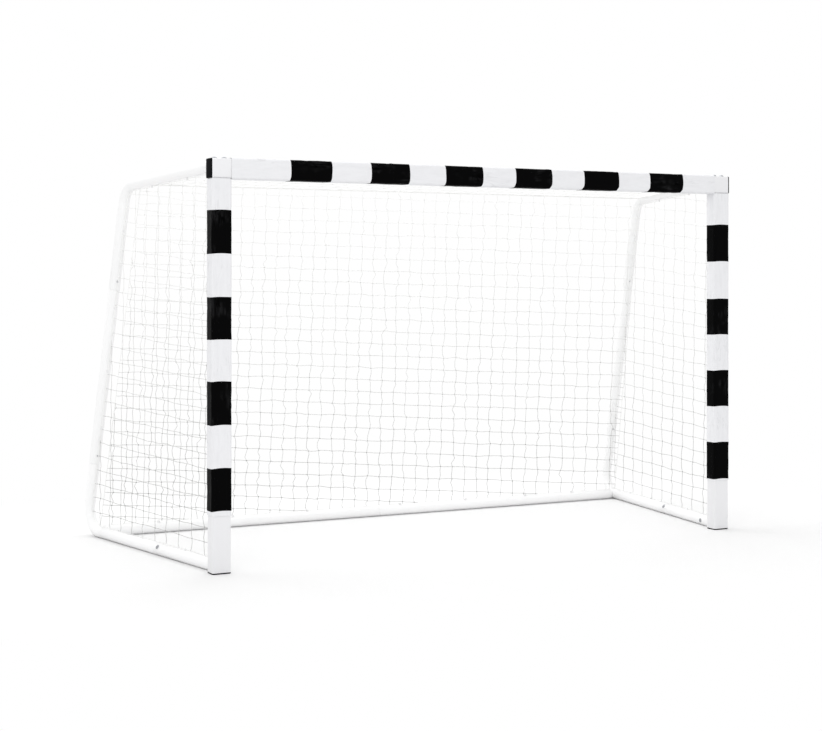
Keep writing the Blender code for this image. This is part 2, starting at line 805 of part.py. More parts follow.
def tube_bolt_places(sign):
    """Point and head direction of each through bolt of a side frame."""
    back, normal = side_axes(sign)
    inboard = -sign * normal
    top, _ = ROUTE.at(SPIGOT_BOLT)
    foot, _ = ROUTE.at(ROUTE.length - SPIGOT_BOLT)
    mid, _ = ROUTE.at(ROUTE.after(1, MID_BOLT))
    slant = (-normal * math.cos(math.radians(35)) + Vector((0, 0, 1)) * math.sin(math.radians(35))).normalized()
    return (
        ("top", side_point(sign, top.x, top.y), inboard),
        ("foot", side_point(sign, foot.x, foot.y), inboard),
        ("mid", side_point(sign, mid.x, mid.y), slant),
    )


def build_side_frames(paint, steel, button_steel, spring_steel):
    """Tubes, snap buttons, springs and bolts of both side frames."""
    marks = ROUTE.marks()
    upper_seam = ROUTE.after(0, UPPER_BUTTON + BUTTON_TO_SEAM)
    lower_seam = ROUTE.before(1, LOWER_BUTTON - BUTTON_TO_SEAM)
    rail_seam = ROUTE.after(1, RAIL_SEAM)
    mid_seam = ROUTE.after(1, MID_SEAM)
    for sign in (-1, 1):
        side = side_name(sign)
        locate = side_locator(sign)
        top = tube_piece(f"top_rail_{side}", locate, marks, female(RAIL_START, upper_seam - GAP), paint)
        upright = tube_piece(
            f"upright_{side}", locate, marks, necked(upper_seam, lower_seam - GAP, True), paint
        )
        elbow = build_elbow(sign, locate, marks, lower_seam, rail_seam, paint)
        rear = tube_piece(
            f"side_rail_rear_{side}", locate, marks, necked(rail_seam + GAP, mid_seam - GAP, False), paint
        )
        front = tube_piece(
            f"side_rail_front_{side}", locate, marks, female(mid_seam, ROUTE.length - RAIL_START), paint
        )
        pieces = {"upper": (top, upright), "lower": (upright, elbow), "rail": (elbow, rear)}
        for place, point, direction, ahead in joint_places(sign):
            for piece in pieces[place]:
                button_hole(piece, point, direction, paint)
            snap_button(f"snap_button_{place}_{side}", point, direction, button_steel)
            leaf_spring(f"button_spring_{place}_{side}", point, direction, ahead, spring_steel)
        held = {
            "top": (bpy.data.objects[f"top_spigot_{side}"], top),
            "foot": (bpy.data.objects[f"ground_spigot_{side}"], front),
            "mid": (rear, front),
        }
        for place, point, direction in tube_bolt_places(sign):
            neck, tube = held[place]
            rivet_nut(neck, point, direction, paint)
            for piece in (neck, tube):
                bolt_hole(piece, point, direction, paint)
            dome_bolt(
                f"tube_bolt_{place}_{side}",
                point + direction * (TUBE_R + GAP),
                direction,
                TUBE_HEAD_R,
                TUBE_HEAD_H,
                TUBE_BOLT_R,
                TUBE_R + GAP - NECK_R + TUBE_WALL + RIVET_NUT_H,
                steel,
            )
        for piece in (top, upright, elbow, rear, front, held["top"][0], held["foot"][0]):
            keep_smooth(piece)


def rear_bar_axis(sign):
    """Where the rear bar's axis meets a side frame: the end of the bend on the ground."""
    flat, _ = ROUTE.at(ROUTE.after(1, ROUTE.tangent[1]))
    return side_point(sign, flat.x, TUBE_R)


def build_elbow(sign, locate, marks, lower_seam, rail_seam, paint):
    """The lower bend, with a neck at both ends and a third neck for the rear bar."""
    neck_in = NECK_R - TUBE_WALL
    outer = [(lower_seam - NECK_LENGTH, NECK_R), (lower_seam, NECK_R), (lower_seam, TUBE_R)]
    outer += [(rail_seam, TUBE_R), (rail_seam, NECK_R), (rail_seam + NECK_LENGTH, NECK_R)]
    bm = bmesh.new()
    solid_tube(bm, locate, marks, outer)
    elbow = add_object(f"corner_elbow_{side_name(sign)}", bm, paint, smooth=True)
    axis = rear_bar_axis(sign)
    inward = Vector((-sign, 0, 0))
    stub_locate = straight_locator(axis, inward, Vector((0, 1, 0)))
    bm = bmesh.new()
    reach = BAR_END + NECK_LENGTH
    solid_tube(bm, stub_locate, [], [(0, NECK_R), (reach, NECK_R)])
    combine(elbow, add_object("stub", bm, paint), "UNION")
    bm = bmesh.new()
    past = 2 * GAP
    solid_tube(
        bm,
        locate,
        marks,
        [(lower_seam - NECK_LENGTH - past, neck_in), (rail_seam + NECK_LENGTH + past, neck_in)],
    )
    cut(elbow, add_object("bore", bm, paint))
    bm = bmesh.new()
    solid_tube(bm, stub_locate, [], [(0, neck_in - FIT), (reach + past, neck_in - FIT)])
    cut(elbow, add_object("bore", bm, paint))
    return elbow


def build_rear_bar(paint, button_steel, spring_steel):
    """Two halves that plug on to the elbows and lock to each other in the middle."""
    left = rear_bar_axis(-1)
    locate = straight_locator(Vector((0, left.y, left.z)), Vector((1, 0, 0)), Vector((0, 1, 0)))
    end = abs(left.x) - BAR_END
    halves = (
        tube_piece("rear_bar_left", locate, [], necked(-end, -GAP, False), paint),
        tube_piece("rear_bar_right", locate, [], female(0, end), paint),
    )
    rearward = Vector((0, 1, 0))
    point = Vector((BUTTON_TO_SEAM, left.y, left.z))
    for half in halves:
        button_hole(half, point, rearward, paint)
        keep_smooth(half)
    snap_button("snap_button_bar", point, rearward, button_steel)
    leaf_spring("button_spring_bar", point, rearward, Vector((1, 0, 0)), spring_steel)


def tie(bm, point, ahead, toward):
    """A short tie from a tube to the edge of the net beside it."""
    middle = TUBE_R + GAP + (TIE_REACH + NET_BORDER / 2) / 2
    across = ahead.cross(toward).normalized()
    turn = Matrix((ahead.normalized(), toward.normalized(), across)).transposed()
    size = Vector((TIE_WIDTH, TIE_REACH + NET_BORDER / 2, TIE_THICK))
    box = bmesh.ops.create_cube(bm, size=1.0)
    place = Matrix.Translation(point + toward.normalized() * middle) @ turn.to_4x4()
    bmesh.ops.transform(bm, matrix=place @ Matrix.Diagonal((*size, 1.0)), verts=box["verts"])


def side_ties(sign):
    """The ties of a side panel, along the top rail, the upright and the ground rail."""
    back, normal = side_axes(sign)
    bm = bmesh.new()
    stations = [RAIL_START + d for d in TOP_TIES]
    stations += [ROUTE.after(0, d) for d in UPRIGHT_TIES]
    stations += [ROUTE.after(1, d) for d in RAIL_TIES]
    for distance in stations:
        flat, heading = ROUTE.at(distance)
        ahead = back * heading.x + Vector((0, 0, heading.y))
        inward = back * heading.y - Vector((0, 0, heading.x))
        tie(bm, side_point(sign, flat.x, flat.y), ahead, inward)
    return bm


def back_ties():
    axis = rear_bar_axis(1)
    upper, _ = back_net_edges(1)
    rise = Vector((0, upper.y - axis.y, upper.z - axis.z))
    bm = bmesh.new()
    for x in REAR_TIES:
        tie(bm, Vector((x, axis.y, axis.z)), Vector((1, 0, 0)), rise)
    return bm


def top_ties():
    bm = bmesh.new()
    heading = ROUTE.at(0)[1]
    for sign in (-1, 1):
        back, normal = side_axes(sign)
        ahead = back * heading.x + Vector((0, 0, heading.y))
        for depth in TOP_NET_TIES:
            tie(bm, side_point(sign, depth, top_rail_height(depth)), ahead, -sign * normal)
    return bm


def hook(bm, place):
    """A J-shaped hook. Local +Y points away from the frame and +Z is the open side of its trough."""
    wall = HOOK_BASE
    outline = [(WELD, -HOOK_HALF), (wall, -HOOK_HALF), (wall, -HOOK_FLOOR - wall)]
    outline += [(HOOK_REACH - wall / 2, -HOOK_FLOOR - wall), (HOOK_REACH, -HOOK_FLOOR - wall / 2)]
    outline += [(HOOK_REACH, HOOK_LIP), (HOOK_REACH - wall, HOOK_LIP), (HOOK_REACH - wall, -HOOK_FLOOR)]
    outline += [(wall, -HOOK_FLOOR), (wall, HOOK_HALF), (WELD, HOOK_HALF)]
    rows = []
    for x in (-HOOK_WIDTH / 2, HOOK_WIDTH / 2):
        rows.append([place @ Vector((x, y, z)) for y, z in outline])
    low, high = loft(bm, rows, closed=False)
    bm.faces.new(low)
    bm.faces.new(high)


def hook_trough():
    """Distance of a hooked net edge behind the rear face."""
    return GAP + (HOOK_BASE + HOOK_REACH - HOOK_BASE) / 2


def hook_track(name, places, start, end, along, finish):
    """A row of hooks on one thin strip. start and end are on the middle line of its mounting face."""
    centre = (start + end) / 2 + Vector((0, TRACK_THICK / 2, 0))
    bm = bmesh.new()
    bmesh.ops.create_cube(bm, size=1.0)
    size = Vector((TRACK_WIDTH, TRACK_THICK, TRACK_WIDTH))
    size[along] = (end - start).length
    bmesh.ops.transform(bm, matrix=Matrix.LocRotScale(centre, None, size), verts=bm.verts)
    made = add_object(name, bm, finish)
    bm = bmesh.new()
    for place in places:
        hook(bm, place)
    weld(made, add_object("hooks", bm, finish))


def net_front():
    """Depth of the front edge of the side and top panels."""
    return hook_trough() / SPLAY_COS - NET_STRAND / 2


def cell_middles(start, end, count):
    """Middles of the net's cells along an edge, which is where a hook passes between the strands."""
    pitch = (end - start - 2 * NET_BORDER) / count
    return [start + NET_BORDER + pitch * (i + 0.5) for i in range(count)]


def build_hooks(plastic):
    rear = y_from_front(PROFILE_DEPTH) + GAP
    low = TUBE_R + NET_INSET
    high = top_rail_height(net_front()) - NET_INSET
    post_hooks = cell_middles(low, high, SIDE_CELLS[1])
    reach = POST_X + net_front() * SPLAY_SIN - NET_INSET / SPLAY_COS
    crossbar_hooks = cell_middles(-reach, reach, TOP_CELLS[0])
    for sign in (-1, 1):
        shift = sign * (hook_trough() * math.tan(SPLAY) + NET_THICK / 2 - HOOK_FLOOR + HOOK_SLACK)
        x = sign * POST_X + shift
        turn = Matrix.Rotation(-sign * math.radians(90), 4, "Y")
        places = [Matrix.Translation((x, rear, height)) @ turn for height in post_hooks]
        start = Vector((x, rear, post_hooks[0] - TRACK_END))
        end = Vector((x, rear, post_hooks[-1] + TRACK_END))
        hook_track(f"net_hooks_{side_name(sign)}", places, start, end, 2, plastic)
    height = top_rail_height(hook_trough() / SPLAY_COS) - HOOK_SLACK
    places = [Matrix.Translation((x, rear, height)) for x in crossbar_hooks]
    start = Vector((crossbar_hooks[0] - TRACK_END, rear, height))
    end = Vector((crossbar_hooks[-1] + TRACK_END, rear, height))
    hook_track("net_hooks_crossbar", places, start, end, 0, plastic)


def top_rail_height(depth):
    """Height of the top rail's axis, or of the top panel, at a depth."""
    return HEIGHT - TUBE_R - TOP_DROP * depth / TOP_DEPTH


def pierced_sheet(loops, thick, place):
    """A flat sheet inside the first loop with the other loops as holes, centred on local Z zero."""
    points = [point for loop in loops for point in loop]
    owner = [number for number, loop in enumerate(loops) for _ in loop]
    rims = []
    first = 0
    for loop in loops:
        rims += [(first + i, first + (i + 1) % len(loop)) for i in range(len(loop))]
        first += len(loop)
    _, _, triangles, order, _, _ = delaunay_2d_cdt(points, rims, [], 1, GAP / 1000)
    source = [origins[0] for origins in order]
    bm = bmesh.new()
    low, high = (
        [bm.verts.new(place @ Vector((*point, z))) for point in points] for z in (-thick / 2, thick / 2)
    )
    for triangle in triangles:
        corners = [source[i] for i in triangle]
        owners = {owner[i] for i in corners}
        if len(owners) == 1 and owners != {0}:
            continue
        bm.faces.new([high[i] for i in corners])
        bm.faces.new([low[i] for i in reversed(corners)])
    for i, j in rims:
        bm.faces.new((low[i], low[j], high[j], high[i]))
    return bm


def lattice(name, corners, cells, finish, ties, rounds=()):
    """A flat net panel between four corners, given round the panel from the low left one.

    rounds holds (corner number, points) where the panel's corner gives way to a bend.
    """
    low_left, low_right, high_right, high_left = corners
    along = (low_right - low_left).normalized()
    across = along.cross(high_left - low_left).normalized()
    place = Matrix((along, across.cross(along), across)).transposed().to_4x4()
    place.translation = low_left
    flat = place.inverted()
    a, b, c, d = [(flat @ corner).to_2d() for corner in corners]
    columns, rows = cells
    wide = NET_BORDER / (b - a).length
    tall = NET_BORDER / (d - a).length
    us = [wide + (1 - 2 * wide) * i / columns for i in range(columns + 1)]
    vs = [tall + (1 - 2 * tall) * j / rows for j in range(rows + 1)]
    half_u = NET_STRAND / 2 / (b - a).length
    half_v = NET_STRAND / 2 / (d - a).length

    def at(u, v):
        return a.lerp(d, v).lerp(b.lerp(c, v), u)

    rounded = {number: [(flat @ point).to_2d() for point in points] for number, points in rounds}
    outline = []
    for number, corner in enumerate((a, b, c, d)):
        outline += rounded.get(number, [corner])
    loops = [outline]
    ends = {1: (columns - 1, 0), 2: (columns - 1, rows - 1)}
    for j in range(rows):
        for i in range(columns):
            u0, u1 = us[i] + half_u * (i > 0), us[i + 1] - half_u * (i < columns - 1)
            v0, v1 = vs[j] + half_v * (j > 0), vs[j + 1] - half_v * (j < rows - 1)
            gap = [at(u0, v0), at(u1, v0), at(u1, v1), at(u0, v1)]
            for number, points in rounded.items():
                if ends[number] == (i, j):
                    gap[number] += points[len(points) // 2] - (a, b, c, d)[number]
            loops.append(gap)
    made = add_object(name, pierced_sheet(loops, NET_THICK, place), finish)
    weld(made, add_object("ties", ties, finish))


def bend_centre(corner):
    _, _, origin, heading, turn = ROUTE.runs[2 * corner + 1]
    side = 1 if turn > 0 else -1
    return origin + Vector((-heading.y, heading.x)) * BEND_R * side


def inside_bend(corner, steps=4):
    """Points of a panel's round corner inside a bend, as (depth, height)."""
    start, length = ROUTE.runs[2 * corner + 1][:2]
    centre = bend_centre(corner)
    points = []
    for k in range(steps + 1):
        on_axis, _ = ROUTE.at(start + length * k / steps)
        points.append(centre + (on_axis - centre) * (BEND_R - NET_INSET) / BEND_R)
    return points


def inner_corner(corner):
    """Crossing of the two lines that lie the net inset inside the tubes at a corner."""
    _, _, origin, heading, _ = ROUTE.runs[2 * corner + 1]
    centre = bend_centre(corner)
    tip = origin + heading * ROUTE.tangent[corner]
    return centre + (tip - centre) * (BEND_R - NET_INSET) / BEND_R


def back_net_edges(sign):
    """Upper and lower corner of the back panel on one side."""
    _, normal = side_axes(sign)
    depth = TOP_NET_DEPTH + NET_BORDER / 2
    upper = side_point(sign, depth, top_rail_height(depth) - NET_THICK - GAP)
    upper -= sign * Vector((NET_INSET, 0, 0)) / SPLAY_COS
    axis = rear_bar_axis(sign)
    rise = (Vector((0, upper.y, upper.z)) - Vector((0, axis.y, axis.z))).normalized()
    lower = axis + rise * NET_INSET
    lower -= sign * Vector((NET_THICK / 2 + 4 * GAP, 0, 0)) / SPLAY_COS
    shift = (lower.y - axis.y) * math.tan(SPLAY)
    lower.x += sign * shift
    return upper, lower


def build_nets(cord):
    front = net_front()
    for sign in (-1, 1):
        upper = inner_corner(0)
        lower = inner_corner(1)
        top_front = Vector((front, top_rail_height(front) - NET_INSET))
        foot_front = Vector((front, TUBE_R + NET_INSET))
        corners = [side_point(sign, p.x, p.y) for p in (foot_front, lower, upper, top_front)]
        rounds = [
            (number, [side_point(sign, p.x, p.y) for p in reversed(inside_bend(corner))])
            for number, corner in ((1, 1), (2, 0))
        ]
        lattice(f"net_{side_name(sign)}", corners, SIDE_CELLS, cord, side_ties(sign), rounds)
    left_top, left_low = back_net_edges(-1)
    right_top, right_low = back_net_edges(1)
    lattice("net_back", [left_low, right_low, right_top, left_top], BACK_CELLS, cord, back_ties())
    inset = Vector((NET_INSET, 0, 0)) / SPLAY_COS
    corners = []
    for sign, depth in ((-1, front), (1, front), (1, TOP_NET_DEPTH), (-1, TOP_NET_DEPTH)):
        corners.append(side_point(sign, depth, top_rail_height(depth)) - sign * inset)
    lattice("net_top", corners, TOP_CELLS, cord, top_ties())


def footprint_depth(route):
    """Depth from the front of the sleeves to the back of the lower bends."""
    start, length, origin, heading, turn = route.runs[3]
    centre = origin + Vector((-heading.y, heading.x)) * BEND_R * (1 if turn > 0 else -1)
    return SLEEVE_OUT, PROFILE_DEPTH + (centre.x + BEND_R) * SPLAY_COS + TUBE_R


def build():
    clear_scene()
    paint = material("white_paint", (0.86, 0.87, 0.88), 0.35)
    vinyl = material("sleeve_vinyl", (0.80, 0.81, 0.83), 0.38)
    cord = material("net_cord", (0.88, 0.88, 0.87), 0.75)
    rubber = material("black_plastic", (0.015, 0.015, 0.017), 0.5)
    clip = material("white_plastic", (0.85, 0.85, 0.85), 0.45)
    steel = material("zinc_steel", (0.62, 0.63, 0.65), 0.32, 0.9)
    button_steel = material("button_steel", (0.45, 0.46, 0.48), 0.3, 0.9)
    spring_steel = material("spring_steel", (0.35, 0.36, 0.38), 0.35, 0.9)
    build_posts(paint)
    build_crossbar(paint, steel)
    build_plugs(rubber)
    build_corner_bolts(steel)
    build_sleeves(vinyl)
    build_spigots(paint)
    build_side_frames(paint, steel, button_steel, spring_steel)
    build_rear_bar(paint, button_steel, spring_steel)
    build_hooks(clip)
    build_nets(cord)


ROUTE = side_route()
BEFORE_FRONT, BEHIND_FRONT = footprint_depth(ROUTE)
FRONT_Y = -(BEHIND_FRONT - BEFORE_FRONT) / 2
BAR_END = (TUBE_R + TUBE_R * SPLAY_SIN) / SPLAY_COS + 0.001

build()
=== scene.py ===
"""Looks of a garden soccer goal: painted steel frame, striped vinyl sleeves, knotted net."""

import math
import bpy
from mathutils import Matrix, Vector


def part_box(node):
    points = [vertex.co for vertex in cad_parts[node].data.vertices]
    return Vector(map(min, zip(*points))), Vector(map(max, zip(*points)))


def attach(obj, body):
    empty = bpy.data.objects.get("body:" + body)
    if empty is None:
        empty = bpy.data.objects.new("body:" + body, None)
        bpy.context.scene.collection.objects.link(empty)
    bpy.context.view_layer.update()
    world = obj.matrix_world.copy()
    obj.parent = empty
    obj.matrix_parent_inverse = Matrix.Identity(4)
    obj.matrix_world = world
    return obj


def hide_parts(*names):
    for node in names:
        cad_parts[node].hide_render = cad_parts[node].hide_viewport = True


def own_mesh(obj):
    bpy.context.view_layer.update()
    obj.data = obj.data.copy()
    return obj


bl_info = {
    "name": "Garden Soccer Goal",
    "version": (1, 0, 0),
    "blender": (4, 5, 0),
    "location": "View3D > Sidebar > Goal",
    "description": "Builds the pieces, finishes and stage of a garden soccer goal on its CAD frame",
    "category": "Object",
}

from collections import namedtuple

import bmesh
import bpy
import numpy as np
from mathutils import Matrix, Vector

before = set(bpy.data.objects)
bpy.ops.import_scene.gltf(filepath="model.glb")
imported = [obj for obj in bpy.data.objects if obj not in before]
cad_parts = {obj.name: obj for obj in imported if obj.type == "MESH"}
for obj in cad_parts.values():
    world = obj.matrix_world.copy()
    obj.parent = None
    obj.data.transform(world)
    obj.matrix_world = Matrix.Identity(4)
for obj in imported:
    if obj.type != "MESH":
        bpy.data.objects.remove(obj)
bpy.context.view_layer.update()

SIDES = (-1, 1)
SIDE_NAMES = {-1: "left", 1: "right"}

POST_LOW, POST_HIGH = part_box("post_right")
BAR_LOW, BAR_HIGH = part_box("crossbar_right")
REAR_Y = POST_HIGH.y
MIDDLE_Y = (POST_LOW.y + REAR_Y) / 2
POST_X = (POST_LOW.x + POST_HIGH.x) / 2
BAR_Z = (BAR_LOW.z + BAR_HIGH.z) / 2
TOP_Z = BAR_HIGH.z
PROFILE_WIDTH = 0.080  # of a post, and the height of the crossbar
PROFILE_DEPTH = 0.060
BAR_REACH = 1.300  # from the goal's middle to the crossbar's end
BAR_NECK = 0.180  # how far the crossbar's left half plugs into the right one
NECK_SLACK = 0.0004
POST_HEAD = 0.050  # solid head of a post
GAP = 0.0003  # between pieces that touch
PROFILE_EDGE = 0.0005  # rounding of a profile's cut edges

SPLAY = math.radians(9.1)  # each side frame opens outwards by this much
TUBE_R = 0.025
ROOF_DROP = 0.046  # how far a top rail falls from the crossbar to the upper corner
TOP_CORNER = (0.821, TOP_Z - TUBE_R - ROOF_DROP)  # depth behind the post, height
GROUND_CORNER = (1.2245, TUBE_R)
BEND_RADIUS = 0.100
FULL_BEND = 1.4  # the turn, in radians, that gets all of a bend's rings

UPPER_SEAM = 0.477  # below the upper corner
LOWER_SEAM = 0.325  # above the lower corner
RAIL_SEAM = 0.175  # in front of the lower corner
MID_SEAM = 0.710  # in front of the lower corner
NECK = 0.080
NECK_R = 0.0226
RAIL_START = 0.010  # end of a rail behind the post

# Bolts and snap buttons. Heights are above the middle line of their tube.
CORNER_BOLT_OFFSET = 0.021  # of each corner bolt from the post's middle
SPIGOT_BOLT = 0.085
MID_BOLT = 0.747
MID_BOLT_TILT = math.radians(35)
BOLT_HOLE_R = 0.0046
BUTTON_TO_SEAM = 0.040
BUTTON_HOLE_R = 0.0054
WALL_CUT = (0.012, 0.032)  # where a drill starts and ends that cuts one wall of a tube
PIN_TOP = 0.029
PIN_SEAT = 0.0187
PIN_FOOT = 0.0172
PIN_R = 0.0048
PIN_FLANGE_R = 0.0075
PIN_DOME = 0.0016
LEAF_NEAR = 0.0165  # the leaf spring's legs
LEAF_FAR = 0.0194
LEAF_THICK = 0.0008
LEAF_WIDTH = 0.008

CAP_FLANGE = 0.0055
FOOT_COLLAR = 0.022  # how far a foot plug reaches into the post
PLATE_WIDTH = 0.074  # of the spigots' plates
PLATE_THICK = 0.004
PLATE_CORNER = 0.007
SPIGOT_LENGTH = 0.120
BEAD_R = 0.0022  # of the weld round the foot of a spigot
BEAD_RISE = 0.0046  # from the plate's front to the middle of the weld
RIVET_OFFSET = 0.022  # of each rivet from the post's middle
RIVET_RISE = 0.028  # of the rivets from the spigot's middle line
SMALL_HEAD_H = 0.0025  # head of a rivet or a crossbar screw

# The sleeves' black stripes, along X on the crossbar and by height on the posts.
BAR_STRIPES = (
    (-0.957, -0.770),
    (-0.589, -0.406),
    (-0.231, -0.046),
    (0.122, 0.310),
    (0.481, 0.672),
    (0.845, 1.034),
)
POST_STRIPES = {
    -1: ((0.256, 0.429), (0.602, 0.779), (0.948, 1.121), (1.295, 1.473)),
    1: ((0.243, 0.418), (0.588, 0.759), (0.930, 1.100), (1.276, 1.451)),
}
REAR_FLAP = 0.0125  # how far a sleeve reaches round the rear corners
SLEEVE_COLUMNS = 72
SLEEVE_PITCH = 0.0095

# The sleeves' relief: how many creases, then a crease's width, length and height.
FINE_CREASES = (190, 0.006, 0.030, 0.0011)
BROAD_CREASES = (60, 0.014, 0.045, 0.0010)
POST_TILT = 25.0  # how far, in degrees, the fine creases stray from lying across
BAR_TILT = 12.0
BROAD_TILT = 40.0
SEAM_RIDGE = (0.00035, 0.0016)  # height and width of the ridge along a stripe's edge
PUCKER = (0.00022, 0.018, 0.0042)  # height, reach and pitch of the puckers beside it
HEM_RIDGE = (0.0004, 0.0015)
HEM = 0.012  # from a sleeve's end to the seam of its hem
LIFT_RANGE = (-0.0022, 0.0018)

# Places of the net's straps: along the top rail, past the upper corner, past the lower corner,
# behind the crossbar on the top rails, and along the rear bar.
TOP_STRAPS = (0.240, 0.560)
UPRIGHT_STRAPS = (0.200, 0.560, 0.860, 1.130)
RAIL_STRAPS = (0.330, 0.560, 0.960)
ROOF_STRAPS = (0.140, 0.400, 0.660)
REAR_STRAPS = (-1.150, -0.780, -0.390, 0.120, 0.500, 0.860, 1.150)

NET_R = TUBE_R + 0.0045  # from a tube's middle line to the net that is tied to it
HOOK_REACH = 0.0078  # from the posts' rear faces to the net's front edges
HOOK_CLEAR = 0.0008
HOOK_MARGIN = 0.020  # from the end of a track to its last hook
SIDE_HOOKS = 7
BAR_HOOKS = 12
ROOF_DEPTH = 0.740  # of the roof panel, in the side frame's plane
ROOF_ROWS = 7
ROOF_CORD = 0.7  # share of the cord's diameter
BACK_PATCH = ((-1.4337, 1.6210), (1.4376, 1.6173), (1.6718, -0.3478), (-1.3761, -0.0211))
BACK_SPREAD = (1.0, 0.8432, 0.7973, 0.9541)  # how the back panel's meshes widen to the right
EVEN_SPREAD = (1, 1, 1, 1)
SIDE_COLUMNS = 12
SIDE_LEAN = 0.024  # how the side panels' columns lean, per metre of height
SIDE_ROW = 0.0603  # height of a mesh in the side panels, at the front
SIDE_ROW_GROWTH = 0.0039  # and what it gains per metre of depth

# How uneven the net hangs: how far knots stray across and along their row, and how far a cord
# bows aside, bulges out of the panel and waves between two knots.
KNOT_STRAY = (0.0034, 0.0018)
CORD_BOW = 0.0042
CORD_BULGE = 0.0012
CORD_WAVE = 0.0028
ROW_SWING = 0.25  # share of the bow and the wave that the cords of a row have

STRAP_THICK = 0.0011
CAMERA_PLACE = (-3.535, -6.718, 1.1925)
CAMERA_TURN = -0.4755
CAMERA_LENS = 70.03
CAMERA_SHIFT = -0.1054
SHADOW_HALF = (1.55, 0.75)  # half the floor, in X and Y, that keeps its shadows
SHADOW_FADE = 1.1  # the squared distance past it at which the floor is all white


# ---------------------------------------------------------------- settings


def length_property(name, description, default):
    return bpy.props.FloatProperty(
        name=name, description=description, default=default, unit="LENGTH"
    )


def count_property(name, description, default, least=1):
    return bpy.props.IntProperty(name=name, description=description, default=default, min=least)


def colour_property(name, description, default):
    return bpy.props.FloatVectorProperty(
        name=name,
        description=description,
        default=default,
        size=3,
        subtype="COLOR",
        min=0,
        max=1,
    )


class GoalSizes(bpy.types.PropertyGroup):
    """Sizes of the goal's visible pieces."""

    wall: length_property("Wall", "Wall of the posts, the crossbar and the tubes", 0.002)
    profile_round: length_property(
        "Profile corner", "Corner radius of the posts and the crossbar", 0.006
    )
    tube_sides: count_property("Tube sides", "Facets round a tube", 64, 16)
    bend_steps: count_property("Bend steps", "Rings in a bend", 28, 8)
    rim: length_property("Rim", "Rounding of a tube's cut edge", 0.0007)
    sleeve_thickness: length_property("Sleeve thickness", "Thickness of the vinyl sleeves", 0.0008)
    sleeve_slack: length_property(
        "Sleeve slack", "How far the sleeves stand off the profiles", 0.0030
    )
    net_columns: count_property("Net columns", "Meshes across the back panel", 42)
    net_rows: count_property("Net rows", "Meshes down the back panel", 25)
    side_pitch: length_property("Side pitch", "Width of a mesh in the side panels", 0.110)
    cord_diameter: length_property("Cord", "Diameter of the net's cord", 0.0026)
    border_diameter: length_property(
        "Border cord", "Diameter of the cord round each net panel", 0.0034
    )
    strap_width: length_property("Strap", "Width of the straps that hold the net", 0.014)


class GoalColours(bpy.types.PropertyGroup):
    """Colours of the goal's finishes."""

    profile_paint: colour_property(
        "Profile paint", "Powder coat of the posts and the crossbar", (0.785, 0.785, 0.80)
    )
    tube_paint: colour_property(
        "Tube paint", "Powder coat of the round tubes", (0.89, 0.89, 0.892)
    )
    vinyl_white: colour_property(
        "White vinyl", "White parts of the sleeves", (0.775, 0.777, 0.795)
    )
    vinyl_black: colour_property("Black vinyl", "Stripes of the sleeves", (0.0018, 0.0018, 0.0019))
    net: colour_property("Net", "Cord of the net", (0.80, 0.80, 0.79))
    black_plastic: colour_property("Black plastic", "Caps and foot plugs", (0.004, 0.0042, 0.0050))
    white_plastic: colour_property("White plastic", "Net hooks", (0.82, 0.82, 0.81))
    strap: colour_property("Strap", "Webbing of the straps", (0.88, 0.88, 0.88))
    zinc: colour_property("Zinc", "Bolts and screws", (0.40, 0.41, 0.43))
    button: colour_property("Button", "Snap buttons", (0.60, 0.61, 0.63))
    spring: colour_property("Spring", "Leaf springs", (0.30, 0.31, 0.33))


# ---------------------------------------------------------------- shader maths


class Value:
    """A socket in a node tree. Python arithmetic on it adds Math nodes."""

    def __init__(self, surface, socket):
        self.surface = surface
        self.socket = socket

    def math(self, operation, *others):
        inputs = {0: self}
        inputs.update(enumerate(others, start=1))
        return self.surface.node("ShaderNodeMath", {"operation": operation}, inputs)

    def __add__(self, other):
        return self.math("ADD", other)

    def __radd__(self, other):
        return self.math("ADD", other)

    def __sub__(self, other):
        return self.math("SUBTRACT", other)

    def __rsub__(self, other):
        settings = {"operation": "SUBTRACT"}
        return self.surface.node("ShaderNodeMath", settings, {0: other, 1: self})

    def __mul__(self, other):
        return self.math("MULTIPLY", other)

    def __rmul__(self, other):
        return self.math("MULTIPLY", other)

    def __gt__(self, other):
        return self.math("GREATER_THAN", other)

    def __lt__(self, other):
        return self.math("LESS_THAN", other)

    def __abs__(self):
        return self.math("ABSOLUTE")


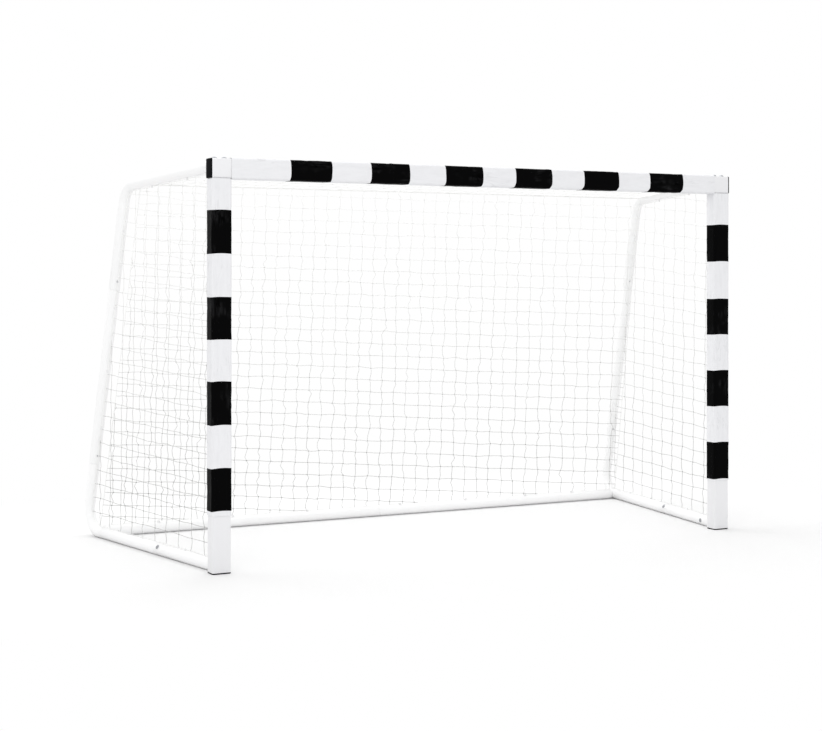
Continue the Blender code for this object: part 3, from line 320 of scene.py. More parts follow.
class Surface:
    """A material's node tree with one Principled shader."""

    def __init__(self, name, **constants):
        self.material = bpy.data.materials.new(name)
        self.material.use_nodes = True
        self.tree = self.material.node_tree
        self.shader = self.tree.nodes["Principled BSDF"]
        for key, value in constants.items():
            socket = self.shader.inputs[key.replace("_", " ")]
            socket.default_value = (*value, 1.0) if hasattr(value, "__len__") else value

    def node(self, kind, settings=None, inputs=None, output=0):
        """Adds any node: its settings first, then the values or links of its sockets."""
        made = self.tree.nodes.new(kind)
        for key, value in (settings or {}).items():
            setattr(made, key, value)
        for key, value in (inputs or {}).items():
            self.feed(made.inputs[key], value)
        return Value(self, made.outputs[output])

    def feed(self, socket, value):
        if isinstance(value, Value):
            self.tree.links.new(value.socket, socket)
        elif hasattr(value, "__len__") and len(value) == 3 and socket.type == "RGBA":
            socket.default_value = (*value, 1.0)
        else:
            socket.default_value = value

    def set(self, name, value):
        self.feed(self.shader.inputs[name], value)

    def place(self, scale=None):
        """Object coordinates, stretched by a scale along each axis."""
        place = self.node("ShaderNodeTexCoord", output=3)
        if scale is None:
            return place
        return self.node("ShaderNodeMapping", {}, {"Vector": place, "Scale": scale})

    def axes(self):
        """The object coordinates as three values."""
        x = self.node("ShaderNodeSeparateXYZ", inputs={0: self.place()})
        return [Value(self, output) for output in x.socket.node.outputs]

    def noise(self, scale, detail=3.0, roughness=0.5, stretch=None, distortion=0.0):
        inputs = {
            "Vector": self.place(stretch),
            "Scale": scale,
            "Detail": detail,
            "Roughness": roughness,
            "Distortion": distortion,
        }
        return self.node("ShaderNodeTexNoise", {}, inputs)

    def bands(self, direction, scale, distortion, detail):
        """Fine parallel lines, as of a weave or of twisted cord."""
        return self.node(
            "ShaderNodeTexWave",
            {"wave_type": "BANDS", "bands_direction": direction},
            {"Vector": self.place(), "Scale": scale, "Distortion": distortion, "Detail": detail},
        )

    def blend(self, factor, low, high):
        """Mixes two colours. Sockets 6 and 7 and output 2 are the Mix node's colour ones."""
        settings = {"data_type": "RGBA"}
        return self.node("ShaderNodeMix", settings, {0: factor, 6: low, 7: high}, output=2)

    def remap(self, value, low, high, to_low=0.0, to_high=1.0, smooth=True):
        settings = {"interpolation_type": "SMOOTHSTEP" if smooth else "LINEAR"}
        inputs = {0: value, 1: low, 2: high, 3: to_low, 4: to_high}
        return self.node("ShaderNodeMapRange", settings, inputs)

    def bump(self, height, distance, strength=1.0):
        """Feeds a height field, in units of the distance, to the shader's normal."""
        inputs = {"Strength": strength, "Distance": distance, "Height": height}
        self.set("Normal", self.node("ShaderNodeBump", {}, inputs))


def shade(colour, factor):
    return tuple(channel * factor for channel in colour)


def lifted(colour, lift):
    return tuple(min(1.0, channel + lift) for channel in colour)


def powder_coat(name, tone):
    """White powder coat: orange peel, a trace of dust low down, slight unevenness."""
    s = Surface(name, Specular_IOR_Level=0.42)
    cloud = s.noise(2.2, 2.0)
    _, _, height = s.axes()
    speck = s.remap(s.noise(60.0, 4.0, 0.65), 0.60, 0.78)
    low = s.remap(height, 0.0, 0.12, 1.0, 0.0)
    dust = low * speck * 0.45
    base = s.blend(cloud, shade(tone, 0.975), tone)
    s.set("Base Color", s.blend(dust, base, shade(tone, 0.72)))
    s.set("Roughness", s.noise(30.0, 3.0) * 0.10 + 0.28 + dust * 0.25)
    s.bump(s.noise(750.0, 2.0), 0.00005, 0.6)
    return s.material


def total(values):
    """The sum of some values, as one chain of nodes."""
    values = list(values)
    whole = values[0]
    for value in values[1:]:
        whole = whole + value
    return whole


def stripe_edges(stripes):
    return [edge for stripe in stripes for edge in stripe]


def sewn_place(s, along, across, flat):
    """The place along a sleeve, shifted so that straight edges in it wander and sag a little."""
    shift = (s.noise(9.0, 1.0) - 0.5) * 0.006
    place = along + shift + across * across * 1.2
    if flat:
        low = s.remap(across, -0.041, -0.020, 1.0, 0.0)
        sag = s.remap(along, -0.4, 0.6, 0.002, 0.008)
        place = place + across * across * 1.2 + low * low * sag
    return place


def sleeve_vinyl(name, stripes, middle, flat=False):
    """Coated vinyl with sewn black stripes, soft creases and a faint scrim weave, with painted
    shade in its creases and painted sheen on the black.

    A flat sleeve lies along X, on the crossbar. The others stand along Z, on the posts.
    """
    colours = bpy.context.scene.goal_colours
    white, black = colours.vinyl_white, colours.vinyl_black
    s = Surface(name, Specular_IOR_Level=0.012)
    x, _, z = s.axes()
    along = x if flat else z
    across = (z if flat else x) - middle
    place = sewn_place(s, along, across, flat)
    mask = total((place > low) * (place < high) for low, high in stripes)
    stretch = (1.0, 4.0, 5.0) if flat else (7.0, 7.0, 1.0)
    streak = s.noise(11.0, 4.0, 0.6, stretch, 0.4)
    fold = s.remap(abs(s.noise(5.0, 3.0, 0.55, stretch, 1.2) - 0.5), 0.0, 0.035, 1.0, 0.0)
    patch = s.remap(s.noise(7.0, 3.0, 0.6), 0.50, 0.62)
    # Painted shade on the white: darker along noise streaks and darker still in fold lines, as
    # shade of creases.
    painted_streak_shade = s.remap(streak, 0.35, 0.75)
    white_side = s.blend(painted_streak_shade, white, shade(white, 0.955))
    white_side = s.blend(fold * patch * 0.8, white_side, shade(white, 0.86))
    # Painted light on the black: lighter patches stand in for sheen, and fold lines are darkened as
    # painted shade.
    black_with_painted_light = s.blend(patch * s.remap(streak, 0.4, 0.7), black, shade(black, 7.0))
    black_with_painted_light = s.blend(fold * patch, black_with_painted_light, shade(black, 0.1))
    edges = stripe_edges(stripes)
    seam = total(s.remap(abs(place - edge), 0.0006, 0.0026, 1.0, 0.0) for edge in edges)
    s.set("Base Color", s.blend(mask, white_side, black_with_painted_light))
    s.set("Roughness", 0.34 + streak * 0.16 - mask * 0.05)
    crease = s.noise(26.0, 4.0, 0.62, (1.0, 2.6, 2.6) if flat else (2.6, 2.6, 1.0), 0.8)
    weave = s.bands("DIAGONAL", 420.0, 0.6, 1.0)
    s.bump(crease * 0.75 + seam * 0.55 + weave * 0.03, 0.0011, 0.55)
    return s.material


def net_tone(s, low, high):
    """Cord tone with painted light: paler near the roof and greyer down to the ground."""
    tone = bpy.context.scene.goal_colours.net
    _, _, height = s.axes()
    # Painted light: the share of the paler tone grows with height.
    painted_shading = s.remap(height, 0.25, 1.66, smooth=False)
    return s.blend(painted_shading, shade(tone, low), shade(tone, high))


def net_cord_finish(name, low, high):
    """Twisted polyethylene cord with fine lay marks."""
    s = Surface(name, Specular_IOR_Level=0.3)
    lay = s.bands("DIAGONAL", 260.0, 1.4, 2.0)
    # Both tones are painted light that grows paler with height; the lay bands blend towards the
    # darker one.
    cord_tone, painted_shading = net_tone(s, low, high), net_tone(s, low * 0.85, high * 0.9)
    s.set("Base Color", s.blend(lay * 0.3, cord_tone, painted_shading))
    s.set("Roughness", 0.55 + lay * 0.2)
    s.bump(lay, 0.0003, 0.15)
    return s.material


def knot_finish(name):
    """The same cord where it is pulled tight, with shaded folds. Its tones are painted shade,
    darker than the cord's, and paler with height as painted light.
    """
    s = Surface(name, Specular_IOR_Level=0.3)
    fold = s.remap(s.noise(420.0, 2.0, 0.6), 0.36, 0.62)
    # Painted shade: the knots are darker than the cord, and paler with height as painted light.
    s.set("Base Color", s.blend(fold, net_tone(s, 0.38, 1.02), net_tone(s, 0.58, 1.16)))
    s.set("Roughness", 0.62 + fold * 0.2)
    s.bump(fold, 0.0005, 0.4)
    return s.material


def moulded_plastic(name, tone, gloss, lift, sheen):
    """Injection-moulded plastic: fine spark grain, faint flow marks and handling scuffs."""
    s = Surface(name, Specular_IOR_Level=sheen)
    flow = s.noise(34.0, 3.0, 0.55, (1.0, 1.0, 3.0), 0.6)
    scuff = s.remap(s.noise(160.0, 5.0, 0.7, (1.0, 5.0, 1.0)), 0.60, 0.72)
    base = s.blend(flow, tone, lifted(tone, lift))
    s.set("Base Color", s.blend(scuff * 0.25, base, lifted(tone, 3 * lift)))
    s.set("Roughness", gloss - 0.06 + flow * 0.14 + scuff * 0.10)
    s.bump(s.noise(2600.0, 2.0), 0.00006, 0.7)
    return s.material


def webbing(name, tone):
    """Woven hook-and-loop strap."""
    s = Surface(name, Specular_IOR_Level=0.2)
    weave = s.bands("Z", 380.0, 2.0, 2.0)
    fuzz = s.noise(900.0, 3.0, 0.7)
    s.set("Base Color", s.blend(weave * fuzz, shade(tone, 0.93), tone))
    s.set("Roughness", 0.7 + fuzz * 0.2)
    s.bump(weave * 0.6 + fuzz * 0.4, 0.0004, 0.25)
    return s.material


def plated_steel(name, tone, roughness, streak_axis):
    """Plated steel: brushed streaks, cloudy plating and small darker spots."""
    s = Surface(name, Metallic=1.0)
    stretch = [1.0, 1.0, 1.0]
    stretch[streak_axis] = 0.12
    streak = s.noise(900.0, 3.0, 0.6, tuple(stretch))
    cloud = s.noise(120.0, 3.0)
    spot = s.remap(s.noise(260.0, 4.0, 0.7), 0.64, 0.74)
    base = s.blend(cloud, shade(tone, 0.86), tone)
    s.set("Base Color", s.blend(spot * 0.5, base, shade(tone, 0.55)))
    s.set("Roughness", roughness - 0.05 + streak * 0.12 + spot * 0.15)
    s.bump(streak, 0.00005, 0.5)
    return s.material


def finish(name):
    """The named material, made on first use."""
    found = bpy.data.materials.get(name)
    if found:
        return found
    colours = bpy.context.scene.goal_colours
    makers = {
        "tube_coat": (powder_coat, colours.tube_paint),
        "profile_coat": (powder_coat, colours.profile_paint),
        # A cord's two numbers are its tones low down and high up: painted light that grows paler
        # with height.
        "net_twine": (net_cord_finish, 0.68, 1.18),
        "net_border": (net_cord_finish, 1.12, 1.20),
        "net_knot": (knot_finish,),
        "strap_webbing": (webbing, colours.strap),
        "vinyl_bar": (sleeve_vinyl, BAR_STRIPES, BAR_Z, True),
        "vinyl_post_left": (sleeve_vinyl, POST_STRIPES[-1], -POST_X),
        "vinyl_post_right": (sleeve_vinyl, POST_STRIPES[1], POST_X),
        "black_cap": (moulded_plastic, colours.black_plastic, 0.40, 0.005, 0.004),
        "white_hook": (moulded_plastic, colours.white_plastic, 0.42, -0.03, 0.40),
        "zinc_bolt": (plated_steel, colours.zinc, 0.32, 2),
        "button_polish": (plated_steel, colours.button, 0.28, 1),
        "spring_strip": (plated_steel, colours.spring, 0.36, 2),
    }
    maker, *traits = makers[name]
    return maker(name, *traits)


# ---------------------------------------------------------------- modelling by hand


def deselect():
    if bpy.context.mode != "OBJECT":
        bpy.ops.object.mode_set(mode="OBJECT")
    bpy.ops.object.select_all(action="DESELECT")


def take(piece):
    """Makes a piece the only selected one."""
    deselect()
    piece.select_set(True)
    bpy.context.view_layer.objects.active = piece


def started(name):
    """Names the primitive that was just added and puts its place into its mesh."""
    piece = bpy.context.object
    piece.name = name
    piece.data.name = name
    bpy.ops.object.transform_apply(location=True, rotation=True, scale=True)
    return piece


def block(name, middle, size):
    """A box of a size round a point."""
    deselect()
    bpy.ops.mesh.primitive_cube_add(size=1.0, location=middle, scale=size)
    return started(name)


def edit(piece):
    take(piece)
    bpy.ops.object.mode_set(mode="EDIT")


def done():
    bpy.ops.object.mode_set(mode="OBJECT")


def done_outwards():
    """Turns every face outwards and leaves edit mode."""
    bpy.ops.mesh.select_all(action="SELECT")
    bpy.ops.mesh.normals_make_consistent(inside=False)
    done()


def pick(piece, kind, wanted):
    """In edit mode, selects the faces, edges or points for which wanted(element) holds."""
    bpy.ops.mesh.select_mode(type=kind)
    bpy.ops.mesh.select_all(action="DESELECT")
    bm = bmesh.from_edit_mesh(piece.data)
    elements = {"VERT": bm.verts, "EDGE": bm.edges, "FACE": bm.faces}[kind]
    found = [element for element in elements if wanted(element)]
    if not found:
        raise RuntimeError(f"{piece.name}: nothing to select")
    for element in found:
        element.select_set(True)
    bmesh.update_edit_mesh(piece.data)


def facing(direction):
    """Picks faces by their normal."""
    return lambda face: face.normal.dot(Vector(direction)) > 0.99


def running(direction):
    """Picks straight edges by the axis that they run along."""
    axis = Vector(direction)
    return lambda e: abs((e.verts[0].co - e.verts[1].co).normalized().dot(axis)) > 0.99


def extrude(offset):
    bpy.ops.mesh.extrude_region_move(TRANSFORM_OT_translate={"value": tuple(offset)})


def modify(piece, kind, **settings):
    """Adds a modifier and applies it."""
    take(piece)
    made = piece.modifiers.new(kind.lower(), kind)
    for key, value in settings.items():
        setattr(made, key, value)
    bpy.ops.object.modifier_apply(modifier=made.name)


def smooth(piece, angle=32.0):
    take(piece)
    bpy.ops.object.shade_smooth_by_angle(angle=math.radians(angle))


def soften(piece, width, angle):
    """Rounds the hard edges."""
    modify(
        piece,
        "BEVEL",
        width=width,
        segments=2,
        limit_method="ANGLE",
        angle_limit=math.radians(angle),
        use_clamp_overlap=True,
    )


def boolean(piece, other, operation="DIFFERENCE"):
    modify(piece, "BOOLEAN", object=other, operation=operation, solver="EXACT")
    bpy.data.objects.remove(other)


def turned_to(direction):
    """Rotation that takes local Z to a direction."""
    return Vector(direction).normalized().to_track_quat("Z", "Y").to_matrix().to_4x4()


def drill(piece, start, end, radius):
    """Cuts a round hole from one point to another."""
    deselect()
    start, end = Vector(start), Vector(end)
    bpy.ops.mesh.primitive_cylinder_add(
        vertices=32,
        radius=radius,
        depth=(end - start).length,
        location=(start + end) / 2,
        rotation=turned_to(end - start).to_euler(),
    )
    boolean(piece, started("drill"))


def drill_wall(tube, point, direction, radius):
    """Cuts a round hole in one wall of a tube, from a point on its middle line."""
    near, far = WALL_CUT
    drill(tube, point + direction * near, point + direction * far, radius)


def copied(pattern, name, place):
    """A copy of a pattern with its own mesh, at a place."""
    mesh = pattern.data.copy()
    mesh.name = name
    mesh.transform(place)
    if place.to_3x3().determinant() < 0:
        mesh.flip_normals()
    piece = bpy.data.objects.new(name, mesh)
    bpy.context.scene.collection.objects.link(piece)
    return piece


def discard(*pieces):
    for piece in pieces:
        bpy.data.objects.remove(piece)


def joined(pieces, name):
    take(pieces[0])
    for piece in pieces[1:]:
        piece.select_set(True)
    bpy.ops.object.join()
    piece = bpy.context.object
    piece.name = name
    piece.data.name = name
    return piece


def finished(piece, material, nodes=(), body="frame"):
    """Gives a piece its finish and body, and hides the CAD nodes that it stands for."""
    piece.data.materials.clear()
    piece.data.materials.append(finish(material))
    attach(piece, body)
    if nodes:
        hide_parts(*nodes)


# ---------------------------------------------------------------- the side frames' line


Run = namedtuple("Run", "start length origin heading centre axis turn")


def straight_run(start, length, origin, heading):
    return Run(start, length, origin, heading, None, None, 0.0)


class SidePath:
    """Middle line of a side frame: from the crossbar over the back to the foot of the post."""

    def __init__(self, sign):
        self.sign = sign
        self.back = Vector((sign * math.sin(SPLAY), math.cos(SPLAY), 0))
        self.normal = Vector((math.cos(SPLAY), -sign * math.sin(SPLAY), 0))
        flat = ((0, TOP_Z - TUBE_R), TOP_CORNER, GROUND_CORNER, (0, TUBE_R))
        points = [self.place(*point) for point in flat]
        self.runs = []
        self.cut = []
        here, length = points[0], 0.0
        for before, corner, after in zip(points, points[1:], points[2:]):
            arrive = (corner - before).normalized()
            leave = (after - corner).normalized()
            turn = arrive.angle(leave)
            cut = BEND_RADIUS * math.tan(turn / 2)
            start = corner - arrive * cut
            straight = (start - here).length
            self.runs.append(straight_run(length, straight, here, arrive))
            length += straight
            axis = arrive.cross(leave).normalized()
            centre = start + axis.cross(arrive) * BEND_RADIUS
            self.runs.append(Run(length, BEND_RADIUS * turn, start, arrive, centre, axis, turn))
            length += BEND_RADIUS * turn
            self.cut.append(cut)
            here = corner + leave * cut
        rest = points[-1] - here
        self.runs.append(straight_run(length, rest.length, here, rest.normalized()))
        self.length = length + rest.length

    def place(self, depth, height):
        return Vector((self.sign * POST_X, REAR_Y, height)) + self.back * depth

    def bend(self, corner):
        """The upper bend is 0 and the lower one is 1."""
        return self.runs[2 * corner + 1]

    def at(self, distance):
        """Point and heading."""
        slack = 1e-9
        reached = (run for run in self.runs if distance <= run.start + run.length + slack)
        run = next(reached, self.runs[-1])
        travel = distance - run.start
        if run.centre is None:
            return run.origin + run.heading * travel, run.heading.copy()
        swing = Matrix.Rotation(run.turn * travel / run.length, 3, run.axis)
        return run.centre + swing @ (run.origin - run.centre), swing @ run.heading

    def before(self, corner, distance):
        return self.bend(corner).start + self.cut[corner] - distance

    def after(self, corner, distance):
        bend = self.bend(corner)
        return bend.start + bend.length + distance - self.cut[corner]

    def moves(self, start, end):
        """Brings a ring along: (shift, None, None), or a bend's (centre, axis, angle)."""
        for run in self.runs:
            low, high = max(run.start, start), min(run.start + run.length, end)
            if high - low < 1e-6:
                continue
            if run.centre is None:
                yield self.at(high)[0] - self.at(low)[0], None, None
            else:
                yield run.centre, run.axis, run.turn * (high - low) / run.length


class StraightPath:
    """A path along one straight axis."""

    def __init__(self, origin, heading):
        self.origin = Vector(origin)
        self.heading = Vector(heading).normalized()

    def at(self, distance):
        return self.origin + self.heading * distance, self.heading.copy()

    def moves(self, start, end):
        yield self.heading * (end - start), None, None


def ring(name, point, heading, radius, sides):
    deselect()
    bpy.ops.mesh.primitive_circle_add(
        vertices=sides,
        radius=radius,
        fill_type="NOTHING",
        location=point,
        rotation=turned_to(heading).to_euler(),
    )
    return started(name)


def draw_tube(name, path, steps, wall, rim):
    """Draws a ring along a path, by steps of (distance, radius).

    A distance that comes twice is a shoulder.
    """
    sizes = bpy.context.scene.goal_sizes
    point, heading = path.at(steps[0][0])
    tube = ring(name, point, heading, steps[0][1], sizes.tube_sides)
    edit(tube)
    bpy.ops.mesh.select_mode(type="EDGE")
    bpy.ops.mesh.select_all(action="SELECT")
    for (here, radius), (there, next_radius) in zip(steps, steps[1:]):
        if there - here < 1e-6:
            extrude((0, 0, 0))
            scale = (next_radius / radius,) * 3
            bpy.ops.transform.resize(value=scale, center_override=path.at(here)[0])
            continue
        for move, axis, angle in path.moves(here, there):
            if axis is None:
                extrude(move)
            else:
                count = max(3, round(sizes.bend_steps * angle / FULL_BEND))
                bpy.ops.mesh.spin(steps=count, angle=-angle, center=move, axis=axis)
    bpy.ops.mesh.select_all(action="SELECT")
    bpy.ops.mesh.remove_doubles(threshold=0.000002)
    done_outwards()
    modify(tube, "SOLIDIFY", thickness=wall, offset=-1.0, use_even_offset=True)
    soften(tube, rim, 50.0)
    smooth(tube)
    return tube


PATHS = {sign: SidePath(sign) for sign in SIDES}


def rear_axis(sign):
    """Where the rear bar's middle line meets a side frame."""
    path = PATHS[sign]
    bend = path.bend(1)
    end, _ = path.at(bend.start + bend.length)
    return Vector((end.x, end.y, TUBE_R))


def button_places():
    """Name, point and direction of each snap button, and which way its tube runs."""
    found = []
    for sign in SIDES:
        path = PATHS[sign]
        side = SIDE_NAMES[sign]
        upper, ahead = path.at(path.after(0, UPPER_SEAM - BUTTON_TO_SEAM))
        lower, _ = path.at(path.before(1, LOWER_SEAM + BUTTON_TO_SEAM))
        rail, rail_ahead = path.at(path.after(1, RAIL_SEAM + BUTTON_TO_SEAM))
        forward = path.normal.cross(ahead)
        if forward.y > 0:
            forward = -forward
        found.append((f"upper_{side}", upper, forward, ahead))
        found.append((f"lower_{side}", lower, forward, ahead))
        found.append((f"rail_{side}", rail, path.normal.copy(), rail_ahead))
    axis = rear_axis(1)
    middle = Vector((BUTTON_TO_SEAM, axis.y, axis.z))
    found.append(("bar", middle, Vector((0, 1, 0)), Vector((1, 0, 0))))
    return found


def bolt_places(sign):
    """Point and head direction of each tube bolt of a side frame."""
    path = PATHS[sign]
    inboard = path.normal * -sign
    top, _ = path.at(SPIGOT_BOLT)
    foot, _ = path.at(path.length - SPIGOT_BOLT)
    mid, _ = path.at(path.after(1, MID_BOLT))
    slant = Vector((0, 0, math.sin(MID_BOLT_TILT))) - path.normal * math.cos(MID_BOLT_TILT)
    return {"top": (top, inboard), "foot": (foot, inboard), "mid": (mid, slant.normalized())}


# ---------------------------------------------------------------- frame pieces


def profile_bar(name, low, high, direction):
    """A rectangular bar with rounded long edges, closed at both ends."""
    low, high = Vector(low), Vector(high)
    bar = block(name, (low + high) / 2, high - low)
    edit(bar)
    pick(bar, "EDGE", running(direction))
    corner = bpy.context.scene.goal_sizes.profile_round
    bpy.ops.mesh.bevel(offset=corner, segments=8, affect="EDGES")
    done()
    return bar


def drill_for_corner_bolts(piece, sign, bottom, top):
    for offset in (-CORNER_BOLT_OFFSET, CORNER_BOLT_OFFSET):
        x = sign * POST_X + offset
        drill(piece, (x, MIDDLE_Y, bottom), (x, MIDDLE_Y, top + 0.01), BOLT_HOLE_R)
    soften(piece, PROFILE_EDGE, 60.0)
    smooth(piece)


class GOAL_OT_posts(bpy.types.Operator):
    """Models the two posts with their open feet and solid heads"""

    bl_idname = "goal.posts"
    bl_label = "Posts"

    def execute(self, context):
        wall = context.scene.goal_sizes.wall
        for sign in SIDES:
            node = f"post_{SIDE_NAMES[sign]}"
            low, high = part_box(node)
            post = profile_bar(f"{node}_tube", low, high, (0, 0, 1))
            edit(post)
            pick(post, "FACE", facing((0, 0, -1)))
            bpy.ops.mesh.inset(thickness=wall)
            extrude((0, 0, high.z - low.z - POST_HEAD))
            done()
            drill_for_corner_bolts(post, sign, high.z - 0.036, high.z)
            finished(post, "profile_coat", [node])
        return {"FINISHED"}


class GOAL_OT_crossbar(bpy.types.Operator):
    """Models the crossbar's two halves, plugged together in the middle, with their two screws"""

    bl_idname = "goal.crossbar"
    bl_label = "Crossbar"

    def execute(self, context):
        for sign in SIDES:
            self.half(sign, context.scene.goal_sizes.wall)
        for number in (1, 2):
            node = f"crossbar_screw_{number}"
            low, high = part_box(node)
            head = small_head(f"{node}_head", 0.006)
            middle = (low + high) / 2
            seat = Matrix.Translation((middle.x, REAR_Y + GAP, middle.z)) @ turned_to((0, 1, 0))
            head.data.transform(seat)
            self.cross_recess(head, seat)
            smooth(head)
            finished(head, "zinc_bolt", [node])
        return {"FINISHED"}

    def half(self, sign, wall):
        """One half of the crossbar. The left one has the neck that plugs into the right one."""
        node = f"crossbar_{SIDE_NAMES[sign]}"
        low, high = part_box(node)
        inner_x = 0.0
        if sign < 0:
            high.x = -GAP
            inner_x = BAR_NECK - GAP
        half = profile_bar(f"{node}_tube", low, high, (1, 0, 0))
        edit(half)
        if sign < 0:
            pick(half, "FACE", facing((1, 0, 0)))
            bpy.ops.mesh.inset(thickness=wall + NECK_SLACK)
            extrude((BAR_NECK, 0, 0))

        def is_open_end(face):
            x = face.calc_center_median().x
            return abs(face.normal.x) > 0.99 and (x * sign > 1.0 or abs(x - inner_x) < 0.001)

        pick(half, "FACE", is_open_end)
        bpy.ops.mesh.delete(type="FACE")
        done()
        modify(half, "SOLIDIFY", thickness=wall, offset=-1.0, use_even_offset=True)
        drill_for_corner_bolts(half, sign, low.z - 0.01, high.z)
        finished(half, "profile_coat", [node])

    def cross_recess(self, head, seat):
        """Cuts a driver's cross into a screw head."""
        middle = Matrix.Translation((0, 0, SMALL_HEAD_H + 0.0003))
        for turn in (0, 90):
            blade = block("blade", (0, 0, 0), (0.0042, 0.0009, 0.003))
            blade.data.transform(seat @ middle @ Matrix.Rotation(math.radians(turn), 4, "Z"))
            boolean(head, blade)


def domed_bolt(name, head_r, head_h, shank_r, length, recess=0.0, sides=40):
    """A bolt along local Z with its head's seat at zero.

    The head is a cap of a sphere on a thin brim. A recess is the size of its hexagonal key.
    """
    brim = head_h * 0.22
    cap_h = head_h - brim
    ball = (head_r * head_r + cap_h * cap_h) / (2 * cap_h)
    deselect()
    bpy.ops.mesh.primitive_uv_sphere_add(
        segments=sides, ring_count=64, radius=ball, location=(0, 0, head_h - ball)
    )
    bolt = started(name)
    edit(bolt)
    bpy.ops.mesh.select_all(action="SELECT")
    bpy.ops.mesh.bisect(
        plane_co=(0, 0, brim), plane_no=(0, 0, 1), use_fill=True, clear_inner=True
    )
    pick(bolt, "FACE", facing((0, 0, -1)))
    extrude((0, 0, -brim))
    bpy.ops.mesh.inset(thickness=head_r - shank_r)
    extrude((0, 0, -length))
    done_outwards()
    if recess:
        deselect()
        bpy.ops.mesh.primitive_cylinder_add(
            vertices=6, radius=recess, depth=head_h, location=(0, 0, head_h)
        )
        boolean(bolt, started("key"))
    soften(bolt, 0.0003, 45.0)
    smooth(bolt)
    return bolt


def small_head(name, length):
    """The low dome of a crossbar screw or of a spigot's rivet."""
    return domed_bolt(
        name, head_r=0.004, head_h=SMALL_HEAD_H, shank_r=0.002, length=length, sides=24
    )


class GOAL_OT_caps(bpy.types.Operator):
    """Moulds the crossbar's end caps and the plugs in the feet of the posts"""

    bl_idname = "goal.caps"
    bl_label = "Caps and foot plugs"

    def execute(self, context):
        for sign in SIDES:
            side = SIDE_NAMES[sign]
            down = Matrix.Translation((sign * POST_X, MIDDLE_Y, CAP_FLANGE))
            self.cap(f"foot_plug_{side}", FOOT_COLLAR, down @ Matrix.Rotation(math.pi, 4, "Y"))
            low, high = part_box(f"end_cap_{side}")
            collar = high.x - low.x - CAP_FLANGE
            out = Matrix.Translation((sign * (BAR_REACH + GAP), MIDDLE_Y, BAR_Z))
            turn = Matrix.Rotation(sign * math.pi / 2, 4, "Y")
            self.cap(f"end_cap_{side}", collar, out @ turn)
        return {"FINISHED"}

    def cap(self, node, collar, place):
        """A rounded flange outside the profile and a hollow collar inside. Local +Z points out."""
        sizes = bpy.context.scene.goal_sizes
        size = (PROFILE_WIDTH, PROFILE_DEPTH, CAP_FLANGE)
        cap = block(f"{node}_moulding", (0, 0, CAP_FLANGE / 2), size)
        edit(cap)
        pick(cap, "EDGE", running((0, 0, 1)))
        bpy.ops.mesh.bevel(offset=sizes.profile_round, segments=8, affect="EDGES")
        pick(cap, "EDGE", lambda e: min(v.co.z for v in e.verts) > CAP_FLANGE - 1e-6)
        bpy.ops.mesh.bevel(offset=0.0018, segments=4, affect="EDGES")
        pick(cap, "FACE", facing((0, 0, -1)))
        bpy.ops.mesh.inset(thickness=sizes.wall + GAP)
        extrude((0, 0, -collar))
        bpy.ops.mesh.inset(thickness=0.003)
        extrude((0, 0, collar))
        done()
        cap.data.transform(place)
        soften(cap, 0.0004, 60.0)
        smooth(cap)
        finished(cap, "black_cap", [node])


class GOAL_OT_corner_bolts(bpy.types.Operator):
    """Sets the four domed bolts that hold the crossbar on the posts"""

    bl_idname = "goal.corner_bolts"
    bl_label = "Corner bolts"

    def execute(self, context):
        pattern = domed_bolt(
            "corner_bolt_pattern",
            head_r=0.0115,
            head_h=0.0085,
            shank_r=0.004,
            length=0.115,
            recess=0.0032,
        )
        for sign in SIDES:
            for place in ("inner", "outer"):
                node = f"corner_bolt_{place}_{SIDE_NAMES[sign]}"
                low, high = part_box(node)
                seat = Matrix.Translation(((low.x + high.x) / 2, MIDDLE_Y, TOP_Z + GAP))
                # Each bolt was tightened to an angle of its own.
                degrees = 17 + 31 * (sign > 0) + 23 * (place == "outer")
                turn = Matrix.Rotation(math.radians(degrees), 4, "Z")
                bolt = copied(pattern, f"{node}_steel", seat @ turn)
                smooth(bolt)
                finished(bolt, "zinc_bolt", [node])
        discard(pattern)
        return {"FINISHED"}


class GOAL_OT_spigots(bpy.types.Operator):
    """Builds the riveted plates with the short tubes that the side frames slide over"""

    bl_idname = "goal.spigots"
    bl_label = "Spigot plates"

    def execute(self, context):
        for sign in SIDES:
            path = PATHS[sign]
            side = SIDE_NAMES[sign]
            point, heading = path.at(0.0)
            self.spigot(f"top_spigot_{side}", sign, point, heading, -1)
            point, heading = path.at(path.length)
            self.spigot(f"ground_spigot_{side}", sign, point, -heading, 1)
        return {"FINISHED"}

    def spigot(self, node, sign, point, heading, up):
        low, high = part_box(node)
        face = REAR_Y + GAP
        middle = (sign * POST_X, face + PLATE_THICK / 2, (low.z + high.z) / 2)
        plate = block(f"{node}_plate", middle, (PLATE_WIDTH, PLATE_THICK, high.z - low.z))
        edit(plate)
        pick(plate, "EDGE", running((0, 1, 0)))
        bpy.ops.mesh.bevel(offset=PLATE_CORNER, segments=6, affect="EDGES")
        done()
        soften(plate, 0.0006, 60.0)
        start = (face + 0.003 - point.y) / heading.y
        steps = [(start, NECK_R), (SPIGOT_LENGTH, NECK_R)]
        stub = draw_tube(f"{node}_stub", StraightPath(point, heading), steps, 0.002, 0.0005)
        deselect()
        bpy.ops.mesh.primitive_torus_add(
            major_segments=64,
            minor_segments=12,
            major_radius=NECK_R + 0.0002,
            minor_radius=BEAD_R,
        )
        bead = started(f"{node}_bead")
        slope = heading / heading.y * (face + BEAD_RISE - point.y)
        bead.data.transform(Matrix.Translation(point + slope) @ turned_to((0, 1, 0)))
        parts = [plate, stub, bead]
        for offset in (-RIVET_OFFSET, RIVET_OFFSET):
            rivet = small_head("rivet", 0.0065)
            seat = (sign * POST_X + offset, face + PLATE_THICK, point.z + up * RIVET_RISE)
            rivet.data.transform(Matrix.Translation(seat) @ turned_to((0, 1, 0)))
            parts.append(rivet)
        whole = joined(parts, f"{node}_weldment")
        smooth(whole)
        finished(whole, "tube_coat", [node])


